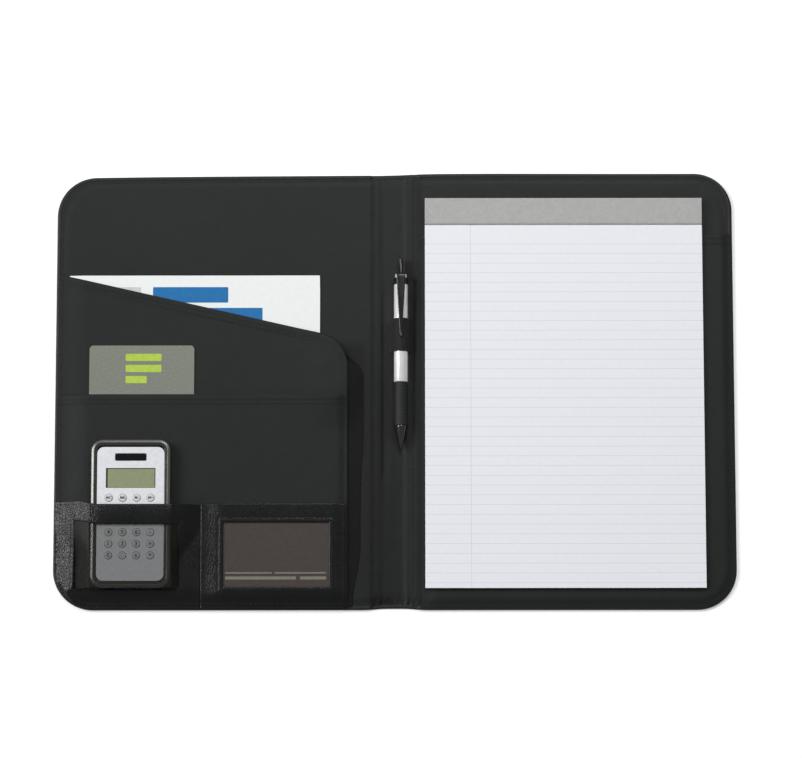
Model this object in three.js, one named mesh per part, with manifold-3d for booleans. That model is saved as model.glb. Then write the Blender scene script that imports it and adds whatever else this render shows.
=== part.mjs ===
// A conference folder that lies open: two covers joined by a spine, with sewn pockets on the left and a
// writing pad on the right. All lengths are millimetres. X runs across the open folder, Y from its bottom
// edge to its top edge and Z up from the table, with the origin under the middle of the folder.

import * as THREE from "three";
import { mergeVertices } from "three/addons/utils/BufferGeometryUtils.js";
import Module from "manifold-3d";

const wasm = await Module();
wasm.setup();

// Covers and spine: each cover is as large as the pad and the margins round it
const padWidth = 210;
const padLength = 297;
const padSpineMargin = 4.8; // from the fold line
const padOuterMargin = 23.2;
const padBottomMargin = 16;
const padTopMargin = 19;
const coverCornerRadius = 30;
const spineWidth = 36;
const spineShortening = 0.8; // at each end of the spine
const foldGap = 0.5; // from a fold line to the stiff layers beside it
const skinFoldGap = 0.15; // from a fold line to the outer skin beside it
const skinThickness = 0.7;
const boardThickness = 1.8;
const liningThickness = 0.5;
const spineLiningThickness = 0.9;
const turnedEdgeWidth = 1.5; // the skin's turned rim round a cover
const clearance = 0.3; // between pieces that only rest or slide on each other

// Pockets, with heights from the bottom edge of the covers
const panelThickness = 0.6;
const panelInset = 1; // from the cover's edge to the edge of a pocket panel
const seamWidth = 3; // the sewn strip round a pocket
const pocketSpineMargin = 17.5; // from the fold line to the free edge of the pockets
const documentPocketOuterHeight = 255.5;
const documentPocketInnerHeight = 205.2;
const documentPocketRounding = 24; // from the corner to where its curve begins
const gussetThickness = 0.5;
const gussetTuck = 6.5; // under the panel
const gussetTopReach = 10; // past the panel
const gussetBottomReach = 3.4;
const gussetHeight = 178;
const cardPocketHeight = 163;
const cardPocketRightInset = 1.2;
const lowerPocketHeight = 79;
const framePanelThickness = 0.8;
const padSlitGap = 0.5; // from the pad pocket's top edge to the sheets
const padPocketInset = 1.5; // from the fold line

// Calculator pocket
const calculatorWindowBand = 16; // from the cover's outer edge to the window
const calculatorWindowBottom = 15; // above the cover's bottom edge
const calculatorSplitBand = 15.7; // from the window to the badge pocket
const strapWidth = 13.8;
const strapThickness = 1;
const strapSlope = 6; // the strap's foot lies this far out from where it leaves the calculator

// Badge pocket
const badgeWindowHeight = 48.4;
const badgeWindowBand = 17.2; // from the pocket's edge to the window
const badgeWindowInnerBand = 13.7; // from the window to the free edge of the pockets
const badgeWindowBottom = 17;
const badgeFilmThickness = 0.2;
const badgeFilmLap = 3; // of the film and the card behind the frame

// Loose contents of the pockets
const brochureHeight = 236;
const brochureThickness = 1;
const brochureMargin = 9.8; // from the cover's outer edge
const brochureSpineMargin = 38.4; // from the fold line
const brochureTopHeight = 254.6;
const businessCardWidth = 79;
const businessCardHeight = 50;
const businessCardThickness = 0.8;
const businessCardRounding = 3;
const businessCardMargin = 25.7; // from the cover's outer edge
const businessCardTopHeight = 200.3;
const badgeCardThickness = 0.5;

// Writing pad
const padBackingThickness = 0.9;
const padSheetsThickness = 2.4;
const padTopSheetThickness = 0.2;
const padHeaderDepth = 20.4;
const padBindingThickness = 0.5;
const padBindingEnd = 0.4; // thickness of the tape over the top edges of the sheets
const padGlueDepth = 26.5; // the sheets reach down to the backing over this length

// Pen, measured along its own axis from the end of its cone
const penFoldDistance = 13.35; // from the fold line beside the pad to the pen's axis
const penTipHeight = 122;
const penBarrelRadius = 5.3;
const penGripRadius = 5.1;
const penConeLength = 16.5;
const penConeEndRadius = 1.1;
const penGripLength = 33.2;
const penBarrelLength = 79.7; // of the bright part above the grip
const penCrownRadius = 4.4;
const penCrownLength = 3.1;
const penButtonRadius = 1.6;
const penButtonLength = 12.7; // above the crown
const penBoreRadius = 3.4;
const penSleeveGap = 0.15; // between pieces that slide over each other
const penGripWall = 1;
const penSpigotLength = 5.5;
const penSpigotBore = 2.75;
const penSeatDepth = 2.5; // the spring's seat lies this far down inside the cone
const penRefillRadius = 1.5;
const penPointRadius = 0.6;
const penPointLength = 8;
const penCollarRadius = 2.5;
const penCollarLength = 1.2;
const penButtonCollarLength = 4;
const penClickTravel = 5; // of the button and the refill
const penSpringRadius = 2.2; // to the middle of the wire
const penSpringWire = 0.5;
const penSpringLength = 16;
const penSpringTurns = 9;
const penClipLength = 46;
const penClipTopWidth = 4.8;
const penClipEndWidth = 1.8;
const penClipThickness = 0.9;
const penClipBallRadius = 1.1;

// Pen loop
const loopPenDistance = 73; // from the end of the pen's cone to the loop
const loopWidth = 25.2;
const loopThickness = 0.7;
const loopFoot = 3;

// Calculator, from its own middle and its underside
const calculatorOuterGap = 12.3; // from the window's outer edge
const calculatorInnerGap = 6.2; // to the window's inner edge
const calculatorBottomGap = 0.5; // from the window's bottom edge
const calculatorWidth = 60;
const calculatorLength = 112;
const calculatorThickness = 9;
const calculatorRounding = 9;
const caseWall = 1.8;
const caseFloor = 1.2;
const bezelHeight = 2.8;
const bezelChamfer = 0.8;
const bezelLedge = 1.5;
const bezelLedgeHeight = 1;
const faceplateWidth = 50.2;
const faceplateLength = 100.8;
const faceplateThickness = 1.3;
const faceplateRounding = 5;
const faceplateOffsetY = -0.4;
const boardHeight = 2.8; // above the underside of the case
const circuitBoardThickness = 1.2;
const circuitBoardInset = 1.4; // from the inside of the case
const bossRadius = 2.2;
const bossInset = 8; // from the outside of the case
const solarCellWidth = 23.3;
const solarCellHeight = 5.4;
const solarCellThickness = 0.5;
const solarCellTop = 42.4; // its middle, above the middle of the calculator
const displayWidth = 36.5;
const displayHeight = 14.4;
const displaySink = 0.3; // below the faceplate
const displayTop = 26.6; // its middle, above the middle of the calculator
const keyColumns = 4;
const keyRows = 6;
const keyColumnPitch = 10.4;
const keyRowPitch = 8.66;
const firstKeyRow = 11.6; // above the middle of the calculator
const keyMiddleX = -0.6;
const keyRadius = 2.85;
const keyHoleGap = 0.25;
const keyFlangeWidth = 0.8;
const keyFlangeHeight = 0.9;
const keyProud = 0.7;
const keyStemRadius = 1.4;
const keyTravel = 0.8;

// Fineness of the curved surfaces
const cornerSteps = 8;
const turnedSides = 24;
const keySides = 12;
const springSteps = 8;
const springWireSides = 5;

// Levels that the pieces share
const coverTop = skinThickness + boardThickness + liningThickness;
const coverWidth = padSpineMargin + padWidth + padOuterMargin;
const coverHeight = padBottomMargin + padLength + padTopMargin;
const coverOuter = spineWidth / 2 + coverWidth;
const coverBottom = -coverHeight / 2;
const spineTop = skinThickness + spineLiningThickness;
const brochureLow = coverTop;
const documentPanelLow = brochureLow + brochureThickness + clearance;
const documentPanelTop = documentPanelLow + panelThickness;
const cardPanelLow = documentPanelTop + businessCardThickness + clearance;
const cardPanelTop = cardPanelLow + panelThickness;
const badgeFilmLow = cardPanelTop + badgeCardThickness + clearance;
const badgePanelLow = badgeFilmLow + badgeFilmThickness;
const faceplateTop = calculatorThickness - bezelHeight + bezelLedgeHeight + faceplateThickness;
const strapLow = cardPanelTop + Math.max(calculatorThickness, faceplateTop + keyProud) + clearance;
const padPanelLow = coverTop + padBackingThickness + clearance;
const padSheetsLow = padPanelLow + panelThickness + clearance;
const padSheetsTop = padSheetsLow + padSheetsThickness;
const penZ = spineTop + clearance + penBarrelRadius;
const loopInner = penBarrelRadius + clearance;
const loopOuter = loopInner + loopThickness;

// Places that the pieces share
const padLeft = spineWidth / 2 + padSpineMargin;
const padBottom = coverBottom + padBottomMargin;
const padTop = padBottom + padLength;
const pocketRight = -(spineWidth / 2 + pocketSpineMargin);
const calculatorWindowLeft = calculatorWindowBand - coverOuter;
const calculatorLeft = calculatorWindowLeft + calculatorOuterGap;
const calculatorX = calculatorLeft + calculatorWidth / 2;
const calculatorY = coverBottom + calculatorWindowBottom + calculatorBottomGap + calculatorLength / 2;
const calculatorWindowRight = calculatorLeft + calculatorWidth + calculatorInnerGap;
const lowerPocketSplit = calculatorWindowRight + calculatorSplitBand;
const badgeWindowLeft = lowerPocketSplit + badgeWindowBand;
const badgeWindowWidth = pocketRight - badgeWindowInnerBand - badgeWindowLeft;
const brochureLeft = brochureMargin - coverOuter;
const brochureWidth = coverWidth - brochureMargin - brochureSpineMargin;
const brochureTop = coverBottom + brochureTopHeight;
const businessCardLeft = businessCardMargin - coverOuter;
const businessCardTop = coverBottom + businessCardTopHeight;
const penX = spineWidth / 2 - penFoldDistance;
const penTipY = coverBottom + penTipHeight;
const loopBottomY = penTipY + loopPenDistance;

// Finishes
function finish(colour, roughness, metalness = 0) {
  return new THREE.MeshStandardMaterial({ color: colour, roughness, metalness });
}

const coverFinish = finish("#2a2b2b", 0.7);
const boardFinish = finish("#9a8f7c", 0.9);
const liningFinish = finish("#303231", 0.85);
const panelFinish = finish("#2e302f", 0.8);
const frameFinish = finish("#262524", 0.45);
const filmFinish = finish("#e8eaea", 0.15);
const paperFinish = finish("#e6e8ec", 0.9);
const headerFinish = finish("#acacaa", 0.85);
const silverCardFinish = finish("#96968c", 0.4, 0.4);
const badgeCardFinish = finish("#544a46", 0.6);
const steelFinish = finish("#d6d8da", 0.2, 1);
const gripFinish = finish("#303231", 0.8);
const inkFinish = finish("#d8d4c8", 0.5);
const blackPlasticFinish = finish("#1f2021", 0.4);
const faceFinish = finish("#d9dce0", 0.35, 0.5);
const cellFinish = finish("#1a1820", 0.2);
const displayFinish = finish("#959e6e", 0.3);
const circuitFinish = finish("#2f6b45", 0.6);
const keyFinish = finish("#b4b6b8", 0.4);

// Solids and meshes
function solid(geometry) {
  const bare = new THREE.BufferGeometry();
  bare.setAttribute("position", geometry.getAttribute("position"));
  bare.setIndex(geometry.getIndex());
  const merged = mergeVertices(bare, 1e-4);
  const corners = merged.index.array;
  const kept = [];
  for (let i = 0; i < corners.length; i += 3) {
    const [a, b, c] = [corners[i], corners[i + 1], corners[i + 2]];
    if (a !== b && b !== c && c !== a) kept.push(a, b, c);
  }
  const vertProperties = new Float32Array(merged.attributes.position.array);
  return new wasm.Manifold(new wasm.Mesh({ numProp: 3, vertProperties, triVerts: new Uint32Array(kept) }));
}

function geometryOf(made) {
  const mesh = made.getMesh();
  const geometry = new THREE.BufferGeometry();
  geometry.setAttribute("position", new THREE.BufferAttribute(mesh.vertProperties, 3));
  geometry.setIndex(new THREE.BufferAttribute(mesh.triVerts, 1));
  geometry.computeVertexNormals();
  return geometry;
}

function piece(name, made, material) {
  const mesh = new THREE.Mesh(geometryOf(made), material);
  mesh.name = name;
  return mesh;
}

// A flat piece with the outline of a shape in X and Y, from one level to another.
function plate(shape, low, high) {
  const options = { depth: high - low, bevelEnabled: false, curveSegments: cornerSteps };
  return solid(new THREE.ExtrudeGeometry(shape, options).translate(0, 0, low));
}

// A bar along Y whose shape is drawn in X and Z.
function barAlongY(shape, low, high) {
  const options = { depth: high - low, bevelEnabled: false, curveSegments: cornerSteps };
  const geometry = new THREE.ExtrudeGeometry(shape, options);
  return solid(geometry.rotateX(Math.PI / 2).translate(0, high, 0));
}

// A bar along X whose shape is drawn in Y and Z.
function barAlongX(shape, low, high) {
  const geometry = new THREE.ExtrudeGeometry(shape, { depth: high - low, bevelEnabled: false });
  const turn = new THREE.Matrix4().makeBasis(
    new THREE.Vector3(0, 1, 0),
    new THREE.Vector3(0, 0, 1),
    new THREE.Vector3(1, 0, 0),
  );
  return solid(geometry.applyMatrix4(turn).translate(low, 0, 0));
}

// A turned piece about Y, from its profile of [radius, y] points with the material on their left.
function turned(profile, sides = turnedSides) {
  const points = profile.map(([radius, y]) => new THREE.Vector2(radius, y));
  return solid(new THREE.LatheGeometry(points, sides));
}

function polygon(points) {
  return new THREE.Shape(points.map(([x, y]) => new THREE.Vector2(x, y)));
}

function rectangle(left, right, bottom, top) {
  return polygon([
    [left, bottom],
    [right, bottom],
    [right, top],
    [left, top],
  ]);
}

function roundedRectangle(left, right, bottom, top, radius) {
  const quarter = Math.PI / 2;
  const shape = new THREE.Shape();
  shape.moveTo(left + radius, bottom);
  shape.absarc(right - radius, bottom + radius, radius, -quarter, 0, false);
  shape.absarc(right - radius, top - radius, radius, 0, quarter, false);
  shape.absarc(left + radius, top - radius, radius, quarter, 2 * quarter, false);
  shape.absarc(left + radius, bottom + radius, radius, 2 * quarter, 3 * quarter, false);
  return shape;
}

// The outline of a cover drawn inwards by an inset, with round corners away from the spine. The side is
// -1 for the front cover on the left and 1 for the back cover on the right.
function coverOutline(side, inset, inner = spineWidth / 2 + foldGap) {
  const outer = coverOuter - inset;
  const half = coverHeight / 2 - inset;
  const radius = coverCornerRadius - inset;
  const shape = new THREE.Shape();
  shape.moveTo(inner, -half);
  shape.lineTo(outer - radius, -half);
  shape.absarc(outer - radius, -half + radius, radius, -Math.PI / 2, 0, false);
  shape.absarc(outer - radius, half - radius, radius, 0, Math.PI / 2, false);
  shape.lineTo(inner, half);
  const points = shape.getPoints(cornerSteps);
  return new THREE.Shape(points.map((point) => new THREE.Vector2(side * point.x, point.y)));
}

// The two covers and the spine
function coverSkin(side) {
  const sheet = plate(coverOutline(side, 0, spineWidth / 2 + skinFoldGap), 0, skinThickness);
  const block = plate(coverOutline(side, 0), skinThickness / 2, coverTop);
  const hollow = plate(coverOutline(side, turnedEdgeWidth, spineWidth / 2), 0, coverTop + 1);
  return block.subtract(hollow).add(sheet);
}

function coverLayer(side, low, high) {
  return plate(coverOutline(side, turnedEdgeWidth + clearance), low, high);
}

function spineLayer(gap, low, high) {
  const half = spineWidth / 2 - gap;
  const reach = coverHeight / 2 - spineShortening;
  return plate(rectangle(-half, half, -reach, reach), low, high);
}

// Pocket panels are sewn down along a strip on their closed sides and stand off over what they hold.
// The outline has a round corner at the bottom on its outer side, where the cover has one.
function pocketOutline(outer, inner, bottom, outerTop, innerTop, radius, rounding = 0) {
  const side = Math.sign(inner - outer);
  const slope = new THREE.Vector2(outer - inner, outerTop - innerTop).normalize();
  const shape = new THREE.Shape();
  shape.moveTo(outer, outerTop);
  shape.lineTo(outer, bottom + radius);
  const centre = outer + side * radius;
  const start = side > 0 ? Math.PI : 0;
  shape.absarc(centre, bottom + radius, radius, start, side > 0 ? 1.5 * Math.PI : -Math.PI / 2, side < 0);
  shape.lineTo(inner, bottom);
  shape.lineTo(inner, innerTop - rounding);
  if (rounding > 0) {
    shape.quadraticCurveTo(inner, innerTop, inner + slope.x * rounding, innerTop + slope.y * rounding);
  } else {
    shape.lineTo(inner, innerTop);
  }
  return shape;
}

function panelWithHollow(outline, hollow, seat, low, thickness) {
  return plate(outline, seat, low + thickness).subtract(plate(hollow, seat - 1, low));
}

const panelOuter = -(coverOuter - panelInset);
const panelBottom = coverBottom + panelInset;
const panelRadius = coverCornerRadius - panelInset;
const hollowOuter = panelOuter + seamWidth;
const hollowBottom = panelBottom + seamWidth;
const hollowRadius = panelRadius - seamWidth;

function gussetOutline() {
  const inner = pocketRight - gussetTuck;
  return polygon([
    [inner, panelBottom],
    [pocketRight + gussetBottomReach, panelBottom],
    [pocketRight + gussetTopReach, coverBottom + gussetHeight - gussetTopReach],
    [pocketRight + gussetTopReach, coverBottom + gussetHeight],
    [inner, coverBottom + gussetHeight],
  ]);
}

function documentPocket() {
  const outerTop = coverBottom + documentPocketOuterHeight;
  const innerTop = coverBottom + documentPocketInnerHeight;
  const outline = pocketOutline(
    panelOuter,
    pocketRight,
    panelBottom,
    outerTop,
    innerTop,
    panelRadius,
    documentPocketRounding,
  );
  const hollow = pocketOutline(
    hollowOuter,
    pocketRight - seamWidth,
    hollowBottom,
    outerTop + seamWidth,
    outerTop + seamWidth,
    hollowRadius,
  );
  const overGusset = rectangle(
    pocketRight - gussetTuck - clearance,
    pocketRight + 1,
    panelBottom - 1,
    outerTop + seamWidth,
  );
  const panel = panelWithHollow(outline, hollow, coverTop, documentPanelLow, panelThickness);
  return panel.subtract(plate(overGusset, coverTop - 1, coverTop + gussetThickness));
}

function cardPocket() {
  const inner = pocketRight - cardPocketRightInset;
  const top = coverBottom + cardPocketHeight;
  const outline = pocketOutline(panelOuter, inner, panelBottom, top, top, panelRadius);
  const hollow = pocketOutline(hollowOuter, inner - seamWidth, hollowBottom, top + 1, top + 1, hollowRadius);
  return panelWithHollow(outline, hollow, documentPanelTop, cardPanelLow, panelThickness);
}

// The calculator pocket is a frame round a window, and its top strip is a strap over the calculator.
function calculatorPocket() {
  const top = coverBottom + lowerPocketHeight;
  const strapBottom = top - strapWidth;
  const seat = cardPanelTop;
  const outline = pocketOutline(panelOuter, lowerPocketSplit, panelBottom, top, top, panelRadius);
  const window = rectangle(
    calculatorWindowLeft,
    calculatorWindowRight,
    coverBottom + calculatorWindowBottom,
    top + 1,
  );
  const frame = plate(outline, seat, seat + framePanelThickness).subtract(plate(window, seat - 1, strapLow));
  const over = calculatorWidth / 2 + clearance;
  const left = calculatorX - over;
  const right = calculatorX + over;
  const outwards = strapThickness + strapSlope;
  const low = seat;
  const high = strapLow + strapThickness;
  const rightFoot = Math.max(right + outwards, calculatorWindowRight + seamWidth);
  const leftFoot = Math.min(left - outwards, calculatorWindowLeft - seamWidth);
  const strap = polygon([
    [leftFoot - seamWidth, low],
    [left - strapThickness - strapSlope, low],
    [left, strapLow],
    [right, strapLow],
    [right + strapSlope, low],
    [rightFoot + seamWidth, low],
    [rightFoot + seamWidth, low + framePanelThickness],
    [right + strapSlope + strapThickness, low + framePanelThickness],
    [right + strapThickness / 2, high],
    [left - strapThickness / 2, high],
    [left - strapSlope - 2 * strapThickness, low + framePanelThickness],
    [leftFoot - seamWidth, low + framePanelThickness],
  ]);
  return frame.add(barAlongY(strap, strapBottom, top));
}

function badgeWindow(lap) {
  const bottom = coverBottom + badgeWindowBottom;
  return rectangle(
    badgeWindowLeft - lap,
    badgeWindowLeft + badgeWindowWidth + lap,
    bottom - lap,
    bottom + badgeWindowHeight + lap,
  );
}

function badgePocket() {
  const outer = lowerPocketSplit + clearance;
  const inner = pocketRight - cardPocketRightInset;
  const top = coverBottom + lowerPocketHeight;
  const bottom = coverBottom + badgeWindowBottom - badgeFilmLap - clearance;
  const hollow = rectangle(
    badgeWindowLeft - badgeFilmLap - clearance,
    badgeWindowLeft + badgeWindowWidth + badgeFilmLap + clearance,
    bottom,
    top + 1,
  );
  const outline = rectangle(outer, inner, panelBottom, top);
  const panel = panelWithHollow(outline, hollow, cardPanelTop, badgePanelLow, framePanelThickness);
  return panel.subtract(plate(badgeWindow(0), badgePanelLow - 1, badgePanelLow + framePanelThickness + 1));
}

function padPocket() {
  const inner = spineWidth / 2 + padPocketInset;
  const top = padTop - padGlueDepth - padSlitGap;
  const outline = pocketOutline(-panelOuter, inner, panelBottom, top, top, panelRadius);
  const hollow = pocketOutline(-hollowOuter, inner + seamWidth, hollowBottom, top + 1, top + 1, hollowRadius);
  return panelWithHollow(outline, hollow, coverTop, padPanelLow, panelThickness);
}

// Loose contents of the pockets
function brochure() {
  const outline = rectangle(
    brochureLeft,
    brochureLeft + brochureWidth,
    brochureTop - brochureHeight,
    brochureTop,
  );
  return plate(outline, brochureLow, brochureLow + brochureThickness);
}

function businessCard() {
  const outline = roundedRectangle(
    businessCardLeft,
    businessCardLeft + businessCardWidth,
    businessCardTop - businessCardHeight,
    businessCardTop,
    businessCardRounding,
  );
  return plate(outline, documentPanelTop, documentPanelTop + businessCardThickness);
}

// Writing pad: the sheets bend down to the backing at their glued top edge.
function padBacking() {
  const outline = rectangle(padLeft, padLeft + padWidth, padBottom, padTop);
  return plate(outline, coverTop, coverTop + padBackingThickness);
}

function padSheets() {
  const glued = padTop - padGlueDepth;
  const backingTop = coverTop + padBackingThickness;
  const side = polygon([
    [padBottom, padSheetsLow],
    [glued, padSheetsLow],
    [glued, backingTop],
    [padTop, backingTop],
    [padTop, padSheetsTop],
    [padBottom, padSheetsTop],
  ]);
  return barAlongX(side, padLeft, padLeft + padWidth);
}

function padTopSheet() {
  const top = padTop - padHeaderDepth - clearance;
  const outline = rectangle(padLeft, padLeft + padWidth, padBottom, top);
  return plate(outline, padSheetsTop, padSheetsTop + padTopSheetThickness);
}

function padBinding() {
  const top = padSheetsTop + padBindingThickness;
  const side = polygon([
    [padTop - padHeaderDepth, padSheetsTop],
    [padTop, padSheetsTop],
    [padTop, coverTop + clearance],
    [padTop + padBindingEnd, coverTop + clearance],
    [padTop + padBindingEnd, top],
    [padTop - padHeaderDepth, top],
  ]);
  return barAlongX(side, padLeft, padLeft + padWidth);
}

// Elastic pen loop: a band over the pen with two feet sewn to the spine.
function penLoop() {
  const foot = spineTop + loopThickness;
  const shape = new THREE.Shape();
  shape.moveTo(penX - loopOuter - loopFoot, spineTop);
  shape.lineTo(penX - loopInner, spineTop);
  shape.lineTo(penX - loopInner, penZ);
  shape.absarc(penX, penZ, loopInner, Math.PI, 0, true);
  shape.lineTo(penX + loopInner, spineTop);
  shape.lineTo(penX + loopOuter + loopFoot, spineTop);
  shape.lineTo(penX + loopOuter + loopFoot, foot);
  shape.lineTo(penX + loopOuter, foot);
  shape.absarc(penX, penZ, loopOuter, 0, Math.PI, false);
  shape.lineTo(penX - loopOuter, foot);
  shape.lineTo(penX - loopOuter - loopFoot, foot);
  return barAlongY(shape, loopBottomY, loopBottomY + loopWidth);
}

// Pen, in its own frame: its axis is Y and its cone ends at zero.
const penGripEnd = penConeLength + penGripLength;
const penBarrelEnd = penGripEnd + penBarrelLength;
const penCrownEnd = penBarrelEnd + penCrownLength;
const penSpringSeat = penConeLength - penSeatDepth;
const penSpringEnd = penSpringSeat + clearance + penSpringLength;
const penCollarLow = penSpringEnd + clearance;
const penButtonLow = penBarrelEnd - clearance - penButtonCollarLength;
const penButtonHole = penButtonRadius + penSleeveGap;

function penBarrel() {
  const sleeve = penGripRadius - penGripWall - penSleeveGap;
  return turned([
    [penBoreRadius, penConeLength],
    [sleeve, penConeLength],
    [sleeve, penGripEnd],
    [penBarrelRadius, penGripEnd],
    [penBarrelRadius, penBarrelEnd],
    [penBoreRadius, penBarrelEnd],
    [penBoreRadius, penConeLength],
  ]);
}

function penGrip() {
  const inner = penGripRadius - penGripWall;
  const low = penConeLength + penSleeveGap;
  const high = penGripEnd - penSleeveGap;
  const bevel = penGripWall / 2;
  return turned([
    [inner, low],
    [penGripRadius - bevel, low],
    [penGripRadius, low + bevel],
    [penGripRadius, high - bevel],
    [penGripRadius - bevel, high],
    [inner, high],
    [inner, low],
  ]);
}

function penTip() {
  const hole = penPointRadius + penSleeveGap;
  const holeEnd = penPointLength - penClickTravel - clearance;
  const shoulder = penGripRadius - penGripWall / 2;
  const spigot = penBoreRadius - penSleeveGap;
  const spigotEnd = penConeLength + penSpigotLength;
  return turned([
    [hole, 0],
    [penConeEndRadius, 0],
    [shoulder, penConeLength - penGripWall],
    [shoulder, penConeLength],
    [spigot, penConeLength],
    [spigot, spigotEnd],
    [penSpigotBore, spigotEnd],
    [penSpigotBore, penSpringSeat],
    [penRefillRadius + penSleeveGap, penSpringSeat],
    [penRefillRadius + penSleeveGap, holeEnd + penRefillRadius],
    [hole, holeEnd],
    [hole, 0],
  ]);
}

function penClip() {
  const crown = turned([
    [penButtonHole, penBarrelEnd],
    [penCrownRadius, penBarrelEnd],
    [penCrownRadius, penCrownEnd],
    [penButtonHole, penCrownEnd],
    [penButtonHole, penBarrelEnd],
  ]);
  const armLow = loopOuter + clearance;
  const armTop = armLow + penClipThickness;
  const armEnd = penCrownEnd - penClipLength;
  const half = penClipTopWidth / 2;
  const endHalf = penClipEndWidth / 2;
  const arm = polygon([
    [-endHalf, armEnd],
    [endHalf, armEnd],
    [half, penBarrelEnd],
    [half, penCrownEnd],
    [-half, penCrownEnd],
    [-half, penBarrelEnd],
  ]);
  const bridge = plate(rectangle(-half, half, penBarrelEnd, penCrownEnd), penCrownRadius - 2, armTop);
  const ball = new THREE.SphereGeometry(penClipBallRadius, 12, 8);
  const bead = solid(ball.translate(0, armEnd, armLow + penClipBallRadius));
  return crown.add(bridge).add(plate(arm, armLow, armTop)).add(bead);
}

function penButton() {
  const collar = penBoreRadius - penSleeveGap;
  const collarEnd = penBarrelEnd - clearance;
  const end = penCrownEnd + penButtonLength;
  const bevel = penButtonRadius / 4;
  return turned([
    [0, penButtonLow],
    [collar, penButtonLow],
    [collar, collarEnd],
    [penButtonRadius, collarEnd],
    [penButtonRadius, end - bevel],
    [penButtonRadius - bevel, end],
    [0, end],
  ]);
}

function penRefill() {
  const collarEnd = penCollarLow + penCollarLength;
  return turned([
    [0, clearance],
    [penPointRadius, clearance + penPointRadius],
    [penPointRadius, penPointLength + clearance],
    [penRefillRadius, penPointLength + penRefillRadius],
    [penRefillRadius, penCollarLow],
    [penCollarRadius, penCollarLow],
    [penCollarRadius, collarEnd],
    [penRefillRadius, collarEnd],
    [penRefillRadius, penButtonLow],
    [0, penButtonLow],
  ]);
}

// The return spring is one wire wound round the refill, with its ends cut square.
function penSpring() {
  const turns = springSteps * penSpringTurns;
  const radius = penSpringWire / 2;
  const rise = penSpringLength - penSpringWire;
  const positions = [];
  for (let step = 0; step <= turns; step += 1) {
    const angle = (2 * Math.PI * step) / springSteps;
    const height = penSpringSeat + clearance + radius + (rise * step) / turns;
    for (let side = 0; side < springWireSides; side += 1) {
      const round = (2 * Math.PI * side) / springWireSides;
      const out = penSpringRadius + radius * Math.cos(round);
      positions.push(out * Math.cos(angle), height + radius * Math.sin(round), out * Math.sin(angle));
    }
  }
  const faces = [];
  for (let step = 0; step < turns; step += 1) {
    for (let side = 0; side < springWireSides; side += 1) {
      const next = (side + 1) % springWireSides;
      const [a, b] = [step * springWireSides + side, step * springWireSides + next];
      const [c, d] = [a + springWireSides, b + springWireSides];
      faces.push(a, b, c, b, d, c);
    }
  }
  const last = turns * springWireSides;
  for (let side = 1; side < springWireSides - 1; side += 1) {
    faces.push(0, side + 1, side);
    faces.push(last, last + side, last + side + 1);
  }
  const geometry = new THREE.BufferGeometry();
  geometry.setAttribute("position", new THREE.Float32BufferAttribute(positions, 3));
  geometry.setIndex(faces);
  return solid(geometry);
}

// Calculator, in its own frame: the middle of its outline and its underside are zero.
const bezelLow = calculatorThickness - bezelHeight;
const faceplateLow = bezelLow + bezelLedgeHeight;
const circuitTop = boardHeight + circuitBoardThickness;

function calculatorOutline(inset) {
  const halfWidth = calculatorWidth / 2 - inset;
  const halfLength = calculatorLength / 2 - inset;
  const radius = Math.max(calculatorRounding - inset, 1);
  return roundedRectangle(-halfWidth, halfWidth, -halfLength, halfLength, radius);
}

function faceplateOutline(growth) {
  const halfWidth = faceplateWidth / 2 + growth;
  const halfLength = faceplateLength / 2 + growth;
  const [bottom, top] = [faceplateOffsetY - halfLength, faceplateOffsetY + halfLength];
  return roundedRectangle(-halfWidth, halfWidth, bottom, top, faceplateRounding + growth);
}

function keyPlaces() {
  const places = [];
  for (let row = 0; row < keyRows; row += 1) {
    for (let column = 0; column < keyColumns; column += 1) {
      const x = keyMiddleX + (column - (keyColumns - 1) / 2) * keyColumnPitch;
      places.push({ row: row + 1, column: column + 1, x, y: firstKeyRow - row * keyRowPitch });
    }
  }
  return places;
}

function calculatorCase() {
  const hollow = plate(calculatorOutline(caseWall), caseFloor, bezelLow + 1);
  let body = plate(calculatorOutline(0), 0, bezelLow).subtract(hollow);
  const bossX = calculatorWidth / 2 - bossInset;
  const bossY = calculatorLength / 2 - bossInset;
  for (const x of [-bossX, bossX]) {
    for (const y of [-bossY, bossY]) {
      const boss = new THREE.CylinderGeometry(bossRadius, bossRadius, boardHeight, keySides);
      body = body.add(solid(boss.rotateX(Math.PI / 2).translate(x, y, boardHeight / 2)));
    }
  }
  return body;
}

function calculatorBezel() {
  const options = {
    depth: bezelHeight - bezelChamfer,
    bevelThickness: bezelChamfer,
    bevelSize: bezelChamfer,
    bevelSegments: 1,
    curveSegments: cornerSteps,
  };
  const block = new THREE.ExtrudeGeometry(calculatorOutline(bezelChamfer), options).translate(0, 0, bezelLow);
  const below = plate(calculatorOutline(-1), bezelLow - 2 * bezelChamfer, bezelLow);
  const seat = plate(faceplateOutline(clearance), faceplateLow, calculatorThickness + 1);
  const opening = plate(faceplateOutline(-bezelLedge), bezelLow - 1, calculatorThickness);
  return solid(block).subtract(below).subtract(seat).subtract(opening);
}

function middleRectangle(middle, width, height, growth = 0) {
  return rectangle(
    -width / 2 - growth,
    width / 2 + growth,
    middle - height / 2 - growth,
    middle + height / 2 + growth,
  );
}

function keyCylinder(x, y, radius, low, high) {
  const cylinder = new THREE.CylinderGeometry(radius, radius, high - low, keySides);
  return solid(cylinder.rotateX(Math.PI / 2).translate(x, y, (low + high) / 2));
}

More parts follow.
